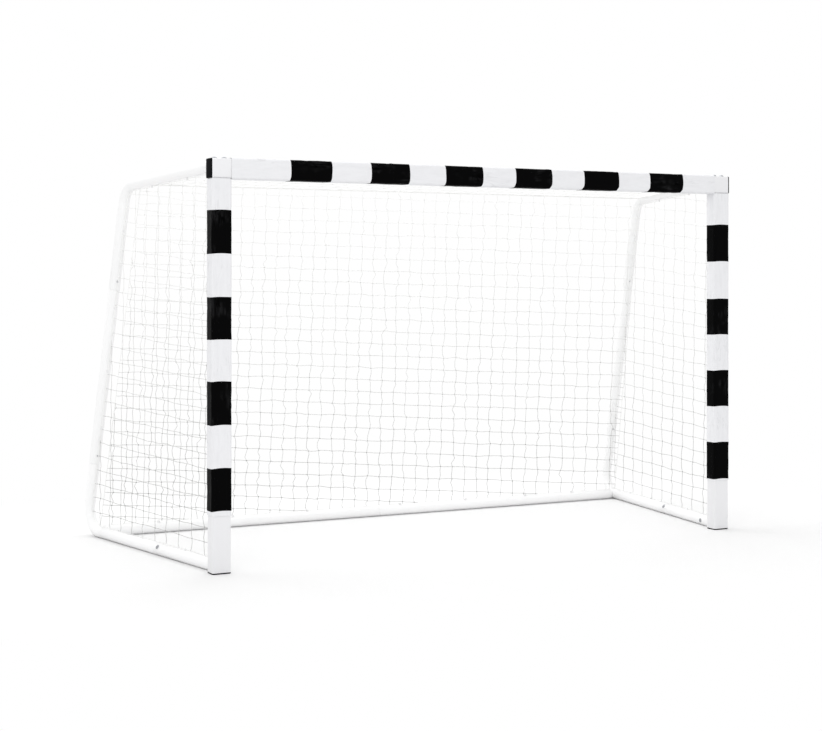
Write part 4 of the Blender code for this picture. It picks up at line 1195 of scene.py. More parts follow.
class GOAL_OT_side_frames(bpy.types.Operator):
    """Bends the tubes of both side frames"""

    bl_idname = "goal.side_frames"
    bl_label = "Side frames"

    def execute(self, context):
        sizes = context.scene.goal_sizes
        for sign in SIDES:
            path = PATHS[sign]
            side = SIDE_NAMES[sign]
            tubes = {
                part: draw_tube(f"{part}_{side}_tube", path, steps, sizes.wall, sizes.rim)
                for part, steps in self.plan(path).items()
            }
            self.rear_stub(tubes["corner_elbow"], sign)
            self.drill_tubes(tubes, sign)
            for part, tube in tubes.items():
                smooth(tube)
                finished(tube, "tube_coat", [f"{part}_{side}"])
        return {"FINISHED"}

    def plan(self, path):
        """Where each tube and its neck start and end along the side frame."""
        upper = path.after(0, UPPER_SEAM)
        lower = path.before(1, LOWER_SEAM)
        rail = path.after(1, RAIL_SEAM)
        mid = path.after(1, MID_SEAM)
        return {
            "top_rail": [(RAIL_START, TUBE_R), (upper - GAP, TUBE_R)],
            "upright": [
                (upper - NECK, NECK_R),
                (upper, NECK_R),
                (upper, TUBE_R),
                (lower - GAP, TUBE_R),
            ],
            "corner_elbow": [
                (lower - NECK, NECK_R),
                (lower, NECK_R),
                (lower, TUBE_R),
                (rail, TUBE_R),
                (rail, NECK_R),
                (rail + NECK, NECK_R),
            ],
            "side_rail_rear": [
                (rail + GAP, TUBE_R),
                (mid - GAP, TUBE_R),
                (mid - GAP, NECK_R),
                (mid + NECK, NECK_R),
            ],
            "side_rail_front": [(mid, TUBE_R), (path.length - RAIL_START, TUBE_R)],
        }

    def drill_tubes(self, tubes, sign):
        """Cuts the holes that the snap buttons and the tube bolts pass through."""
        side = SIDE_NAMES[sign]
        locked = {
            f"upper_{side}": ("top_rail", "upright"),
            f"lower_{side}": ("upright", "corner_elbow"),
            f"rail_{side}": ("corner_elbow", "side_rail_rear"),
        }
        for name, point, direction, _ in button_places():
            for part in locked.get(name, ()):
                drill_wall(tubes[part], point, direction, BUTTON_HOLE_R)
        bolted = {
            "top": ("top_rail",),
            "foot": ("side_rail_front",),
            "mid": ("side_rail_front", "side_rail_rear"),
        }
        for name, (point, direction) in bolt_places(sign).items():
            for part in bolted[name]:
                drill_wall(tubes[part], point, direction, BOLT_HOLE_R)

    def rear_stub(self, elbow, sign):
        """The neck on the elbow that the rear bar slides over."""
        path = StraightPath(rear_axis(sign), (-sign, 0, 0))
        wall = bpy.context.scene.goal_sizes.wall
        steps = [(TUBE_R - 0.0015, NECK_R), (bar_end() + NECK, NECK_R)]
        boolean(elbow, draw_tube("stub", path, steps, wall, 0.0004), "UNION")


def bar_end():
    """Gap between the rear bar's end and the elbow's middle line."""
    return (TUBE_R + TUBE_R * math.sin(SPLAY)) / math.cos(SPLAY) + 0.001


class GOAL_OT_rear_bar(bpy.types.Operator):
    """Draws the rear ground bar in two halves"""

    bl_idname = "goal.rear_bar"
    bl_label = "Rear bar"

    def execute(self, context):
        sizes = context.scene.goal_sizes
        axis = rear_axis(1)
        path = StraightPath((0, axis.y, axis.z), (1, 0, 0))
        end = axis.x - bar_end()
        plan = {
            "rear_bar_left": [(-end, TUBE_R), (-GAP, TUBE_R), (-GAP, NECK_R), (NECK, NECK_R)],
            "rear_bar_right": [(0, TUBE_R), (end, TUBE_R)],
        }
        _, point, direction, _ = button_places()[-1]
        for node, steps in plan.items():
            half = draw_tube(f"{node}_tube", path, steps, sizes.wall, sizes.rim)
            drill_wall(half, point, direction, BUTTON_HOLE_R)
            smooth(half)
            finished(half, "tube_coat", [node])
        return {"FINISHED"}


class GOAL_OT_tube_bolts(bpy.types.Operator):
    """Sets the domed bolts through the side frames' tubes"""

    bl_idname = "goal.tube_bolts"
    bl_label = "Tube bolts"

    def execute(self, context):
        pattern = domed_bolt(
            "tube_bolt_pattern",
            head_r=0.010,
            head_h=0.005,
            shank_r=0.004,
            length=0.012,
            recess=0.0030,
        )
        for sign in SIDES:
            for place, (point, direction) in bolt_places(sign).items():
                node = f"tube_bolt_{place}_{SIDE_NAMES[sign]}"
                seat = Matrix.Translation(point + direction * (TUBE_R + GAP))
                bolt = copied(pattern, f"{node}_steel", seat @ turned_to(direction))
                smooth(bolt)
                finished(bolt, "zinc_bolt", [node])
        discard(pattern)
        return {"FINISHED"}


class GOAL_OT_snap_buttons(bpy.types.Operator):
    """Turns the sprung buttons that lock the plugged tubes, and folds their leaf springs"""

    bl_idname = "goal.snap_buttons"
    bl_label = "Snap buttons"

    def execute(self, context):
        pin, leaf = self.pin(), self.leaf()
        for name, point, direction, ahead in button_places():
            node = f"snap_button_{name}"
            place = Matrix.Translation(point)
            button = copied(pin, f"{node}_pin", place @ turned_to(direction))
            smooth(button)
            finished(button, "button_polish", [node], node)
            node = f"button_spring_{name}"
            turn = Matrix((ahead, direction.cross(ahead), direction)).transposed().to_4x4()
            spring = copied(leaf, f"{node}_leaf", place @ turn)
            smooth(spring, 50.0)
            finished(spring, "spring_strip", [node])
            wall = point - direction * (LEAF_FAR + LEAF_THICK / 2)
            tuple(direction)
            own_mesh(spring)
        discard(pin, leaf)
        return {"FINISHED"}

    def pin(self):
        """A domed pin on a flange that keeps it in the tube. Local Z points out."""
        deselect()
        bpy.ops.mesh.primitive_circle_add(
            vertices=40, radius=PIN_FLANGE_R, fill_type="NGON", location=(0, 0, PIN_FOOT)
        )
        pin = started("button_pattern")
        edit(pin)
        bpy.ops.mesh.select_all(action="SELECT")
        extrude((0, 0, PIN_SEAT - PIN_FOOT))
        bpy.ops.mesh.inset(thickness=PIN_FLANGE_R - PIN_R)
        shoulder = PIN_TOP - PIN_DOME
        extrude((0, 0, shoulder - PIN_SEAT))
        radius, height = PIN_R, shoulder
        for step in range(1, 6):
            angle = math.radians(15 * step)
            lift = PIN_DOME * math.sin(angle) - (height - shoulder)
            extrude((0, 0, lift))
            height += lift
            shrunk = PIN_R * (0.25 + 0.75 * math.cos(angle))
            scale = (shrunk / radius,) * 3
            bpy.ops.transform.resize(value=scale, center_override=(0, 0, height))
            radius = shrunk
        done_outwards()
        soften(pin, 0.0002, 60.0)
        smooth(pin)
        return pin

    def leaf(self):
        """A folded strip. Local X runs along the tube, and local Z points to the button."""
        bend = [(0.0290, 0.0078), (0.0306, 0.0052), (0.0316, 0.0026), (0.0320, 0.0)]
        line = [
            (-0.012, LEAF_NEAR),
            (0.0075, LEAF_NEAR),
            (0.0095, LEAF_NEAR - 0.0004),
            (0.0115, LEAF_NEAR - 0.0014),
            *bend,
            *((x, -z) for x, z in reversed(bend[:-1])),
            (0.0085, 0.0016 - LEAF_FAR),
            (0.0065, 0.0004 - LEAF_FAR),
            (0.0045, -LEAF_FAR),
            (-0.016, -LEAF_FAR),
        ]
        first, end = line[0][0], line[1][0]
        deselect()
        bpy.ops.mesh.primitive_plane_add(size=1.0, location=((first + end) / 2, 0, LEAF_NEAR))
        bpy.context.object.scale = (end - first, LEAF_WIDTH, 1.0)
        leaf = started("leaf_pattern")
        edit(leaf)
        pick(leaf, "EDGE", lambda e: min(v.co.x for v in e.verts) > end - 1e-6)
        for (x, z), (next_x, next_z) in zip(line[1:], line[2:]):
            extrude((next_x - x, 0, next_z - z))
        done_outwards()
        modify(leaf, "SOLIDIFY", thickness=LEAF_THICK, offset=0.0, use_even_offset=True)
        soften(leaf, 0.00015, 60.0)
        return leaf


# ---------------------------------------------------------------- sleeves


def wrapped_outline(width, depth, corner):
    """Places and outward directions along a sleeve's section, from one rear edge to the other."""
    half_w, half_d = width / 2, depth / 2
    inner_w, inner_d = half_w - corner, half_d - corner
    stops = [(-half_w + REAR_FLAP, half_d, 0.0, 1.0)]
    for cx, cy, first in (
        (-inner_w, inner_d, 90),
        (-inner_w, -inner_d, 180),
        (inner_w, -inner_d, 270),
        (inner_w, inner_d, 0),
    ):
        for step in range(13):
            angle = math.radians(first + 90 * step / 12)
            c, n = math.cos(angle), math.sin(angle)
            stops.append((cx + corner * c, cy + corner * n, c, n))
    stops.append((half_w - REAR_FLAP, half_d, 0.0, 1.0))
    table = np.array(stops)
    steps = np.hypot(*np.diff(table[:, :2], axis=0).T)
    return table, np.concatenate([[0.0], np.cumsum(steps)])


def ridge(distance, width):
    """A smooth bump across a line."""
    return np.exp(-((distance / width) ** 2))


def crease_field(along, across, seed, creases, tilt):
    """Sum of soft ridges and furrows. Every number comes from a fixed seed."""
    rng = np.random.default_rng(seed)
    field = np.zeros_like(along)
    count, width, length, depth = creases
    low, high = along.min(), along.max()
    for _ in range(count):
        a0 = rng.uniform(low, high)
        c0 = rng.uniform(-0.11, 0.11)
        # Most creases lie across the sleeve, and the rest lie anyhow.
        if rng.random() < 0.8:
            angle = math.radians(90 + rng.normal(0, tilt))
        else:
            angle = math.radians(rng.uniform(0, 180))
        run = (along - a0) * math.cos(angle) + (across - c0) * math.sin(angle)
        off = (across - c0) * math.cos(angle) - (along - a0) * math.sin(angle)
        w = width * rng.uniform(0.6, 1.6)
        n = length * rng.uniform(0.5, 1.5)
        field += depth * rng.uniform(-1.0, 1.0) * np.exp(-((off / w) ** 2) - (run / n) ** 2)
    return field


def sleeve_lift(along, flat, ends, edges, seed, tilt):
    """How far each point of a sleeve stands off: creases, sewn ridges and hems."""
    lift = crease_field(along, flat, seed, FINE_CREASES, tilt)
    lift += crease_field(along, flat, seed + 1, BROAD_CREASES, BROAD_TILT)
    height, width = SEAM_RIDGE
    pucker, reach, pitch = PUCKER
    for edge in edges:
        lift += height * ridge(along - edge, width)
        near = ridge(along - edge, reach)
        lift += near * pucker * np.sin(flat / pitch + seed + edge * 40)
    start, end = ends
    from_end = np.minimum(np.abs(along - start), np.abs(along - end))
    height, width = HEM_RIDGE
    lift += height * ridge(from_end - HEM, width)
    return np.clip(lift, *LIFT_RANGE)


def sleeve_rows(start, end, edges):
    """Where the sleeve has rings of points: even, and closer at the sewn edges."""
    rows = list(np.linspace(start, end, max(2, round((end - start) / SLEEVE_PITCH)) + 1))
    for edge in edges:
        rows = [row for row in rows if abs(row - edge) > 0.004 or row in (start, end)]
        rows += [edge + shift for shift in (-0.003, -0.0015, -0.0005, 0.0005, 0.0015, 0.003)]
    return np.array(sorted(rows))


def model_sleeve(name, start, end, edges, seed, place, tilt):
    """A vinyl sheet wrapped round a profile. Its length runs along the place's local Z."""
    sizes = bpy.context.scene.goal_sizes
    grow = GAP + sizes.sleeve_slack
    corner = sizes.profile_round + grow
    table, length = wrapped_outline(PROFILE_WIDTH + 2 * grow, PROFILE_DEPTH + 2 * grow, corner)
    rows = sleeve_rows(start, end, edges)
    columns = SLEEVE_COLUMNS
    deselect()
    bpy.ops.mesh.primitive_grid_add(
        x_subdivisions=columns, y_subdivisions=len(rows) - 1, size=1.0
    )
    sheet = started(name)
    count = len(sheet.data.vertices)
    co = np.zeros(count * 3)
    sheet.data.vertices.foreach_get("co", co)
    co = co.reshape(-1, 3)
    walk = np.rint((co[:, 0] + 0.5) * columns) / columns * length[-1]
    along = rows[np.rint((co[:, 1] + 0.5) * (len(rows) - 1)).astype(int)]
    x, y, nx, ny = (np.interp(walk, length, table[:, i]) for i in range(4))
    lift = sleeve_lift(along, walk - length[-1] / 2, (start, end), edges, seed, tilt)
    points = np.stack([x + nx * lift, y + ny * lift, along, np.ones(count)], axis=1)
    moved = points @ np.array(place).T
    sheet.data.vertices.foreach_set("co", moved[:, :3].ravel())
    sheet.data.update()
    edit(sheet)
    done_outwards()
    middle = place @ Vector((0, 0, (start + end) / 2))
    face = max(sheet.data.polygons, key=lambda p: p.area)
    if face.normal.dot(face.center - middle) < 0:
        sheet.data.flip_normals()
    modify(sheet, "SOLIDIFY", thickness=sizes.sleeve_thickness, offset=-1.0)
    smooth(sheet, 60.0)
    return sheet, float(length[-1])


class GOAL_OT_sleeves(bpy.types.Operator):
    """Wraps the striped vinyl sleeves round the posts and the crossbar"""

    bl_idname = "goal.sleeves"
    bl_label = "Sleeves"

    def execute(self, context):
        for sign in SIDES:
            side = SIDE_NAMES[sign]
            node = f"post_sleeve_{side}"
            low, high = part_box(node)
            place = Matrix.Translation((sign * POST_X, MIDDLE_Y, 0))
            edges = stripe_edges(POST_STRIPES[sign])
            sheet, girth = model_sleeve(
                f"{node}_vinyl", low.z, high.z, edges, 11 + sign, place, POST_TILT
            )
            finished(sheet, f"vinyl_post_{side}", [node])
        node = "crossbar_sleeve"
        low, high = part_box(node)
        turn = Matrix(((0, 0, 1, 0), (0, 1, 0, 0), (1, 0, 0, 0), (0, 0, 0, 1)))
        place = Matrix.Translation((0, MIDDLE_Y, BAR_Z)) @ turn
        edges = stripe_edges(BAR_STRIPES)
        sheet, girth = model_sleeve(f"{node}_vinyl", low.x, high.x, edges, 31, place, BAR_TILT)
        finished(sheet, "vinyl_bar", [node])
        return {"FINISHED"}


# ---------------------------------------------------------------- net


def roof_height(depth):
    return TOP_Z - TUBE_R - ROOF_DROP * depth / TOP_CORNER[0]


def net_front():
    """Depth of the hooked front edges behind the posts."""
    return HOOK_REACH / math.cos(SPLAY)


class Panel:
    """A flat net panel: its own axes, its outline in them, and the lattice of its meshes.

    The lattice is a projective patch between four corners, so that meshes can be pulled wider
    towards one side. It may reach past the outline, which then cuts it.
    """

    def __init__(self, name, origin, across, up, outline, corners, weights, cells):
        self.name = name
        self.origin = origin
        self.across = across.normalized()
        self.up = up.normalized()
        self.normal = self.across.cross(self.up)
        self.outline = outline
        self.corners = np.array(corners)
        self.weights = np.array(weights)
        self.cells = cells
        self.fine = 1.0  # share of the full cord diameter

    def place(self, flat, lift=0.0):
        return self.origin + self.across * flat[0] + self.up * flat[1] + self.normal * lift

    def lattice(self, i, j):
        a, b = i / self.cells[0], j / self.cells[1]
        share = np.array([(1 - a) * (1 - b), a * (1 - b), a * b, (1 - a) * b]) * self.weights
        return share @ self.corners / share.sum()

    def holds(self, flat):
        x, y = flat
        hit = False
        for (x0, y0), (x1, y1) in zip(self.outline, self.outline[1:] + self.outline[:1]):
            if (y0 > y) != (y1 > y) and x < (x1 - x0) * (y - y0) / (y1 - y0) + x0:
                hit = not hit
        return hit

    def edge_between(self, inside, outside):
        """Where a cord that leaves the panel meets its border."""
        for _ in range(24):
            middle = (inside + outside) / 2
            if self.holds(middle):
                inside = middle
            else:
                outside = middle
        return inside

    def chains(self, knots, runs):
        """Splits each run of lattice places into chains of flat points that end on the border."""
        for run in runs:
            chain = []
            for key, following in zip(run, run[1:] + [None]):
                here = knots[key]
                inside = self.holds(here)
                if inside:
                    chain.append(here)
                if following is None:
                    break
                there = knots[following]
                if inside and not self.holds(there):
                    chain.append(self.edge_between(here, there))
                    yield chain
                    chain = []
                elif not inside and self.holds(there):
                    chain = [self.edge_between(there, here)]
            if len(chain) > 1:
                yield chain


def back_panel(cells):
    corners = {}
    axis = rear_axis(1)
    for sign in SIDES:
        path = PATHS[sign]
        upper = path.place(ROOF_DEPTH, roof_height(ROOF_DEPTH) - 0.0035)
        upper.x -= sign * (NET_R / math.cos(SPLAY))
        rise = (Vector((0, upper.y, upper.z)) - Vector((0, axis.y, axis.z))).normalized()
        lower = rear_axis(sign) + rise * NET_R
        lower.x += sign * ((lower.y - axis.y) * math.tan(SPLAY) - 0.004)
        corners[sign] = lower, upper
    origin = Vector((0, corners[1][0].y, corners[1][0].z))
    up = Vector((0, corners[1][1].y, corners[1][1].z)) - origin
    outline = [
        (corners[-1][0].x, 0.0),
        (corners[1][0].x, 0.0),
        (corners[1][1].x, up.length),
        (corners[-1][1].x, up.length),
    ]
    across = Vector((1, 0, 0))
    count = (cells[0] + 2, cells[1] + 4)
    return Panel("net_back", origin, across, up, outline, BACK_PATCH, BACK_SPREAD, count)


def roof_panel(cells):
    front = net_front()
    inset = NET_R / math.cos(SPLAY)
    reach = [POST_X + depth * math.sin(SPLAY) - inset for depth in (front, ROOF_DEPTH)]
    near, far = (PATHS[1].place(depth, roof_height(depth)) for depth in (front, ROOF_DEPTH))
    origin = Vector((0, near.y, near.z))
    up = Vector((0, far.y, far.z)) - origin
    outline = [(-reach[0], 0.0), (reach[0], 0.0), (reach[1], up.length), (-reach[1], up.length)]
    across = Vector((1, 0, 0))
    count = (cells[0], ROOF_ROWS)
    panel = Panel("net_top", origin, across, up, outline, outline, EVEN_SPREAD, count)
    panel.fine = ROOF_CORD
    return panel


def side_panel(sign, cells, pitch):
    """Meshes of one width, in rows that open towards the back and are cut by the upright."""
    path = PATHS[sign]
    front = net_front()
    outline = [(front, TUBE_R + NET_R)]
    for corner in (1, 0):
        bend = path.bend(corner)
        for step in range(9):
            on_axis, _ = path.at(bend.start + bend.length * (1 - step / 8))
            inner = bend.centre + (on_axis - bend.centre) * (BEND_RADIUS - NET_R) / BEND_RADIUS
            outline.append(((inner - path.place(0, inner.z)).dot(path.back), inner.z))
    outline.append((front, roof_height(front) - NET_R))
    columns, rows = SIDE_COLUMNS, cells[1] + 2
    base = outline[0][1] - 0.006
    patch = []
    for i, j in ((0, 0), (columns, 0), (columns, rows), (0, rows)):
        depth = pitch * (i - 0.05)
        height = base + j * (SIDE_ROW + SIDE_ROW_GROWTH * depth)
        patch.append((depth - SIDE_LEAN * height, height))
    name, origin, up = f"net_{SIDE_NAMES[sign]}", path.place(0, 0), Vector((0, 0, 1))
    return Panel(name, origin, path.back, up, outline, patch, EVEN_SPREAD, (columns, rows))


def cord_piece(name, lines, diameter):
    """Round cord along each line of points, as one mesh."""
    curve = bpy.data.curves.new(name, "CURVE")
    curve.dimensions = "3D"
    curve.bevel_depth = diameter / 2
    curve.bevel_resolution = 0
    curve.use_fill_caps = True
    curve.twist_mode = "MINIMUM"
    for points, closed in lines:
        spline = curve.splines.new("POLY")
        spline.points.add(len(points) - 1)
        for target, point in zip(spline.points, points):
            target.co = (*point, 1.0)
        spline.use_cyclic_u = closed
    cord = bpy.data.objects.new(name, curve)
    bpy.context.scene.collection.objects.link(cord)
    take(cord)
    bpy.ops.object.convert(target="MESH")
    cord = bpy.context.object
    take(cord)
    bpy.ops.object.shade_smooth()
    return cord


def knot_pattern(diameter):
    """A pulled-tight knot with few faces: a squat ball drawn out along one diagonal."""
    deselect()
    bpy.ops.mesh.primitive_uv_sphere_add(segments=7, ring_count=5, radius=diameter * 1.15)
    knot = started("knot_pattern")
    knot.data.transform(Matrix.Diagonal((1.25, 0.90, 0.8, 1.0)))
    return knot


def strew(name, pattern, places):
    """Copies of a pattern at many places, as one mesh."""
    count = len(pattern.data.vertices)
    co = np.zeros(count * 3)
    pattern.data.vertices.foreach_get("co", co)
    co = np.column_stack([co.reshape(-1, 3), np.ones(count)])
    faces = [tuple(p.vertices) for p in pattern.data.polygons]
    verts, polys = [], []
    for number, place in enumerate(places):
        verts.append((co @ np.array(place).T)[:, :3])
        polys += [tuple(i + number * count for i in face) for face in faces]
    mesh = bpy.data.meshes.new(name)
    mesh.from_pydata(np.concatenate(verts).tolist(), [], polys)
    piece = bpy.data.objects.new(name, mesh)
    bpy.context.scene.collection.objects.link(piece)
    take(piece)
    bpy.ops.object.shade_smooth()
    return piece


def strand(panel, chain, swing, rng):
    """A cord through a chain of knots. Between two knots it bows aside and back."""
    spots = [panel.place(flat) for flat in chain]
    points = []
    for p, q in zip(spots, spots[1:]):
        ahead = (q - p).normalized()
        side = panel.normal.cross(ahead)
        share = min(1.0, (q - p).length / 0.05)
        bow = side * rng.normal(0, CORD_BOW) * swing * share
        bow = bow + panel.normal * rng.normal(0, CORD_BULGE) * share
        wave = side * rng.normal(0, CORD_WAVE) * swing * share
        points += [p, p.lerp(q, 0.3) + bow * 0.8 + wave, p.lerp(q, 0.7) + bow * 0.8 - wave]
    points.append(spots[-1])
    return points, False


class GOAL_OT_net(bpy.types.Operator):
    """Knots the four net panels and their border cords"""

    bl_idname = "goal.net"
    bl_label = "Net"

    def execute(self, context):
        sizes = context.scene.goal_sizes
        cells = sizes.net_columns, sizes.net_rows
        pattern = knot_pattern(sizes.cord_diameter)
        panels = [back_panel(cells), roof_panel(cells)]
        panels += [side_panel(sign, cells, sizes.side_pitch) for sign in SIDES]
        for number, panel in enumerate(panels):
            self.knit(panel, pattern, np.random.default_rng(70 + number))
        discard(pattern)
        return {"FINISHED"}

    def knit(self, panel, pattern, rng):
        sizes = bpy.context.scene.goal_sizes
        across, along = (range(-1, count + 2) for count in panel.cells)
        knots = {}
        for i in across:
            for j in along:
                stray = np.array([rng.normal(0, spread) for spread in KNOT_STRAY])
                knots[i, j] = panel.lattice(i, j) + stray
        columns = [[(i, j) for j in along] for i in across]
        rows = [[(i, j) for i in across] for j in along]
        lines = [strand(panel, chain, 1.0, rng) for chain in panel.chains(knots, columns)]
        lines += [strand(panel, chain, ROW_SWING, rng) for chain in panel.chains(knots, rows)]
        name = panel.name
        cords = cord_piece(f"{name}_cords", lines, sizes.cord_diameter * panel.fine)
        finished(cords, "net_twine", [name])
        edge = [([panel.place(flat) for flat in panel.outline], True)]
        border = cord_piece(f"{name}_border", edge, sizes.border_diameter)
        finished(border, "net_border")
        turn = Matrix((panel.across, panel.up, panel.normal)).transposed().to_4x4()
        places = []
        for flat in knots.values():
            if panel.holds(flat):
                spin = Matrix.Rotation(math.radians(45 + rng.normal(0, 18)), 4, "Z")
                places.append(Matrix.Translation(panel.place(flat)) @ turn @ spin)
        dots = strew(f"{name}_knots", pattern, places)
        finished(dots, "net_knot")


class GOAL_OT_hooks(bpy.types.Operator):
    """Moulds the hook tracks behind the posts and the crossbar"""

    bl_idname = "goal.hooks"
    bl_label = "Net hooks"

    def execute(self, context):
        pattern = self.hook()
        rear = REAR_Y + GAP
        for sign in SIDES:
            node = f"net_hooks_{SIDE_NAMES[sign]}"
            low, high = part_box(node)
            x = sign * POST_X + sign * (HOOK_REACH * math.tan(SPLAY) + HOOK_CLEAR)
            turn = Matrix.Rotation(-sign * math.pi / 2, 4, "Y")
            spots = self.spots(low.z, high.z, SIDE_HOOKS)
            places = [Matrix.Translation((x, rear, z)) @ turn for z in spots]
            self.track(node, pattern, places, (x, rear, low.z), (x, rear, high.z))
        node = "net_hooks_crossbar"
        low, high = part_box(node)
        height = roof_height(HOOK_REACH) - HOOK_CLEAR
        spots = self.spots(low.x, high.x, BAR_HOOKS)
        places = [Matrix.Translation((x, rear, height)) for x in spots]
        self.track(node, pattern, places, (low.x, rear, height), (high.x, rear, height))
        discard(pattern)
        return {"FINISHED"}

    def spots(self, low, high, count):
        """Even places along a track, clear of its ends."""
        start, end = low + HOOK_MARGIN, high - HOOK_MARGIN
        pitch = (end - start) / (count - 1)
        return [start + pitch * i for i in range(count)]

    def hook(self):
        """A J-shaped hook: local +Y leads away from the frame and +Z is the open side."""
        deselect()
        bpy.ops.mesh.primitive_plane_add(
            size=1.0, location=(0, 0.0005, -0.0035), rotation=(math.pi / 2, 0, 0)
        )
        bpy.context.object.scale = (0.008, 0.003, 1.0)
        hook = started("hook_arm")
        edit(hook)
        bpy.ops.mesh.select_all(action="SELECT")
        extrude((0, 0.0095, 0))
        bpy.ops.mesh.spin(steps=6, angle=-math.pi / 2, center=(0, 0.010, 0.0), axis=(1, 0, 0))
        extrude((0, 0, 0.006))
        done_outwards()
        soften(hook, 0.0006, 50.0)
        base = block("hook_base", (0, 0.0017, 0), (0.008, 0.003, 0.024))
        soften(base, 0.0008, 50.0)
        return joined([hook, base], "hook_pattern")

    def track(self, node, pattern, places, start, end):
        start, end = Vector(start), Vector(end)
        size = Vector((0.010, 0.002, 0.010))
        along = 0 if abs(end.x - start.x) > abs(end.z - start.z) else 2
        size[along] = (end - start).length
        strip = block(f"{node}_strip", (start + end) / 2 + Vector((0, size.y / 2, 0)), size)
        edit(strip)
        pick(strip, "FACE", facing((0, 1, 0)))
        bpy.ops.mesh.inset(thickness=0.0012)
        done()
        soften(strip, PROFILE_EDGE, 60.0)
        parts = [copied(pattern, f"hook_{i}", place) for i, place in enumerate(places)]
        whole = joined([strip, *parts], f"{node}_moulding")
        smooth(whole)
        finished(whole, "white_hook", [node])


class GOAL_OT_straps(bpy.types.Operator):
    """Wraps the straps that tie the net to the tubes"""

    bl_idname = "goal.straps"
    bl_label = "Net straps"

    def execute(self, context):
        pattern = self.strap(context.scene.goal_sizes.strap_width)
        for sign in SIDES:
            self.row(f"net_straps_{SIDE_NAMES[sign]}", pattern, self.side_places(sign))
        axis, up = rear_axis(1), back_panel((1, 1)).up
        ahead = Vector((1, 0, 0))
        places = [self.seat(Vector((x, axis.y, axis.z)), ahead, up) for x in REAR_STRAPS]
        self.row("net_straps_rear", pattern, places)
        discard(pattern)
        return {"FINISHED"}

    def side_places(self, sign):
        """Where straps sit round a side frame, and those that hold the roof panel."""
        path = PATHS[sign]
        stations = [RAIL_START + distance for distance in TOP_STRAPS]
        stations += [path.after(0, distance) for distance in UPRIGHT_STRAPS]
        stations += [path.after(1, distance) for distance in RAIL_STRAPS]
        inside = path.place(0.55, 0.8)
        places = []
        for distance in stations:
            point, heading = path.at(distance)
            inward = path.normal.cross(heading)
            if inward.dot(inside - point) < 0:
                inward = -inward
            places.append(self.seat(point, heading, inward))
        heading = path.at(0)[1]
        for depth in ROOF_STRAPS:
            point = path.place(depth, roof_height(depth))
            places.append(self.seat(point, heading, path.normal * -sign))
        return places

    def seat(self, point, ahead, toward):
        """Local X runs along the tube and local Z points to the net."""
        ahead, toward = ahead.normalized(), toward.normalized()
        across = toward.cross(ahead)
        return Matrix.Translation(point) @ Matrix((ahead, across, toward)).transposed().to_4x4()

    def strap(self, width):
        """A band round the tube that closes in a flat tail round the net's border cord."""
        inner = TUBE_R + 0.0002
        deselect()
        bpy.ops.mesh.primitive_circle_add(
            vertices=48,
            radius=inner + STRAP_THICK,
            fill_type="NOTHING",
            rotation=(0, math.pi / 2, 0),
        )
        band = started("strap_band")
        edit(band)
        bpy.ops.mesh.select_all(action="SELECT")
        bpy.ops.transform.translate(value=(-width / 2, 0, 0))
        for _ in range(4):
            extrude((width / 4, 0, 0))
        pick(band, "VERT", lambda v: v.co.z > inner * 0.97)
        bpy.ops.transform.translate(value=(0, 0, 0.0012))
        done_outwards()
        modify(band, "SOLIDIFY", thickness=STRAP_THICK, offset=-1.0)
        tail = block("strap_tail", (0, 0, TUBE_R + 0.0052), (width * 0.94, 0.0036, 0.0088))
        edit(tail)
        pick(tail, "FACE", facing((0, 0, 1)))
        bpy.ops.mesh.inset(thickness=0.0004)
        extrude((0, 0, 0.0006))
        done()
        soften(tail, 0.0007, 50.0)
        return joined([band, tail], "strap_pattern")

    def row(self, name, pattern, places):
        """The straps of one side, pressed flat where they meet the ground."""
        parts = [copied(pattern, f"{name}_{i}", place) for i, place in enumerate(places)]
        whole = joined(parts, name)
        for vertex in whole.data.vertices:
            vertex.co.z = max(vertex.co.z, 0.0)
        smooth(whole, 40.0)
        finished(whole, "strap_webbing")


# ---------------------------------------------------------------- stage


def floor_finish():
    """Pale floor that keeps the shadows near the goal and turns white away from it."""
    s = Surface("studio_floor", Roughness=0.9, Specular_IOR_Level=0.0)
    s.set("Base Color", s.blend(s.noise(0.7, 2.0), (0.777,) * 3, (0.787,) * 3))
    x, y, _ = s.axes()
    beside = (abs(x) - SHADOW_HALF[0]).math("MAXIMUM", 0.0)
    beyond = (abs(y) - SHADOW_HALF[1]).math("MAXIMUM", 0.0)
    away = s.remap(beside * beside + beyond * beyond, 0.0, SHADOW_FADE)
    seen = s.node("ShaderNodeLightPath", output="Is Camera Ray")
    lit = Value(s, s.shader.outputs[0])
    white = s.node("ShaderNodeEmission")
    both = s.node("ShaderNodeMixShader", {}, {0: seen * away, 1: lit, 2: white})
    s.feed(s.tree.nodes["Material Output"].inputs["Surface"], both)
    return s.material


def add_lamp(name, place, target, size, power):
    """A soft square lamp that points at a target."""
    deselect()
    bpy.ops.object.light_add(type="AREA", location=place)
    lamp = bpy.context.object
    lamp.name = name
    lamp.data.shape = "RECTANGLE"
    lamp.data.size, lamp.data.size_y = size
    lamp.data.energy = power
    lamp.rotation_euler = (Vector(target) - Vector(place)).to_track_quat("-Z", "Y").to_euler()


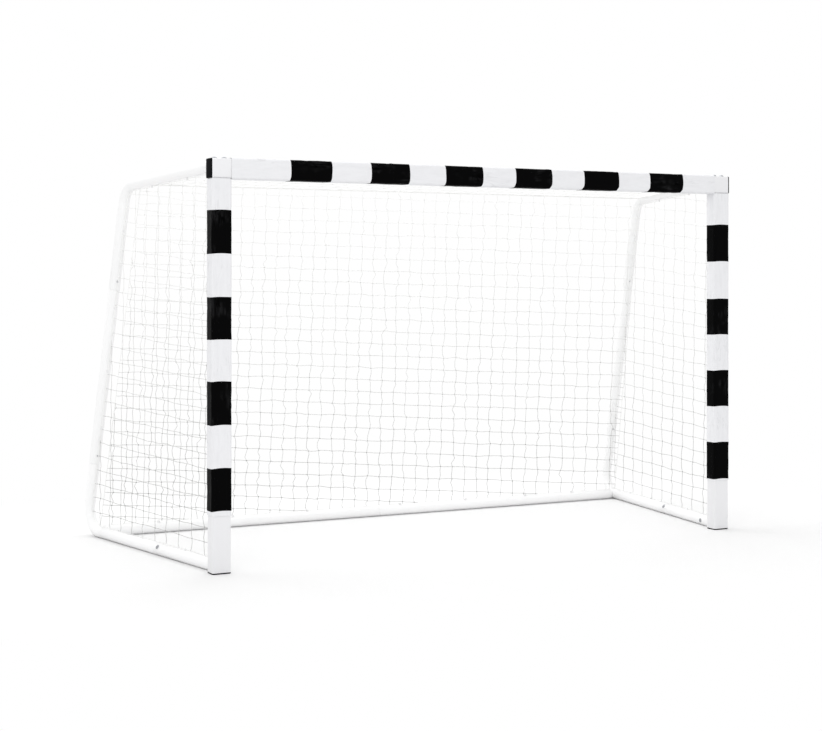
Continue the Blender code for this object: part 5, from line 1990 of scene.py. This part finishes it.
class GOAL_OT_stage(bpy.types.Operator):
    """Sets the floor, the white surroundings, the lamps and the camera"""

    bl_idname = "goal.stage"
    bl_label = "Stage"

    def execute(self, context):
        deselect()
        bpy.ops.mesh.primitive_plane_add(size=90.0, location=(0, 0, 0))
        floor = started("studio_floor")
        floor.data.materials.append(floor_finish())
        self.surroundings(context.scene)
        add_lamp("front_lamp", (-4.5, -8.0, 4.5), (0, 0, 0.8), (6.0, 5.0), 140)
        add_lamp("top_lamp", (0.0, 2.5, 6.0), (0, 0, 0), (8.0, 6.0), 200)
        bpy.ops.object.camera_add(location=CAMERA_PLACE, rotation=(math.pi / 2, 0, CAMERA_TURN))
        camera = context.object
        camera.name = "photo_camera"
        camera.data.lens = CAMERA_LENS
        camera.data.sensor_width = 36.0
        camera.data.shift_y = CAMERA_SHIFT
        context.scene.camera = camera
        context.scene.view_settings.view_transform = "Standard"
        return {"FINISHED"}

    def surroundings(self, scene):
        world = scene.world or bpy.data.worlds.new("surroundings")
        scene.world = world
        world.use_nodes = True
        sky = world.node_tree.nodes["Background"]
        sky.inputs["Color"].default_value = (1.0, 1.0, 1.0, 1.0)
        sky.inputs["Strength"].default_value = 1.0


OPERATORS = (
    GOAL_OT_posts,
    GOAL_OT_crossbar,
    GOAL_OT_caps,
    GOAL_OT_corner_bolts,
    GOAL_OT_spigots,
    GOAL_OT_side_frames,
    GOAL_OT_rear_bar,
    GOAL_OT_tube_bolts,
    GOAL_OT_snap_buttons,
    GOAL_OT_sleeves,
    GOAL_OT_net,
    GOAL_OT_hooks,
    GOAL_OT_straps,
    GOAL_OT_stage,
)


class GOAL_PT_build(bpy.types.Panel):
    """Lists the goal's pieces in the sidebar"""

    bl_idname = "GOAL_PT_build"
    bl_label = "Soccer goal"
    bl_space_type = "VIEW_3D"
    bl_region_type = "UI"
    bl_category = "Goal"

    def draw(self, context):
        layout = self.layout
        for group in (context.scene.goal_sizes, context.scene.goal_colours):
            box = layout.box()
            for key in group.__annotations__:
                box.prop(group, key)
        for operator in OPERATORS:
            layout.operator(operator.bl_idname)


CLASSES = (GoalSizes, GoalColours, *OPERATORS, GOAL_PT_build)


def register():
    for cls in CLASSES:
        bpy.utils.register_class(cls)
    bpy.types.Scene.goal_sizes = bpy.props.PointerProperty(type=GoalSizes)
    bpy.types.Scene.goal_colours = bpy.props.PointerProperty(type=GoalColours)


def unregister():
    del bpy.types.Scene.goal_colours
    del bpy.types.Scene.goal_sizes
    for cls in reversed(CLASSES):
        bpy.utils.unregister_class(cls)


def main():
    register()
    for operator in OPERATORS:
        group, _, name = operator.bl_idname.partition(".")
        getattr(getattr(bpy.ops, group), name)()


if __name__ == "__main__":
    main()
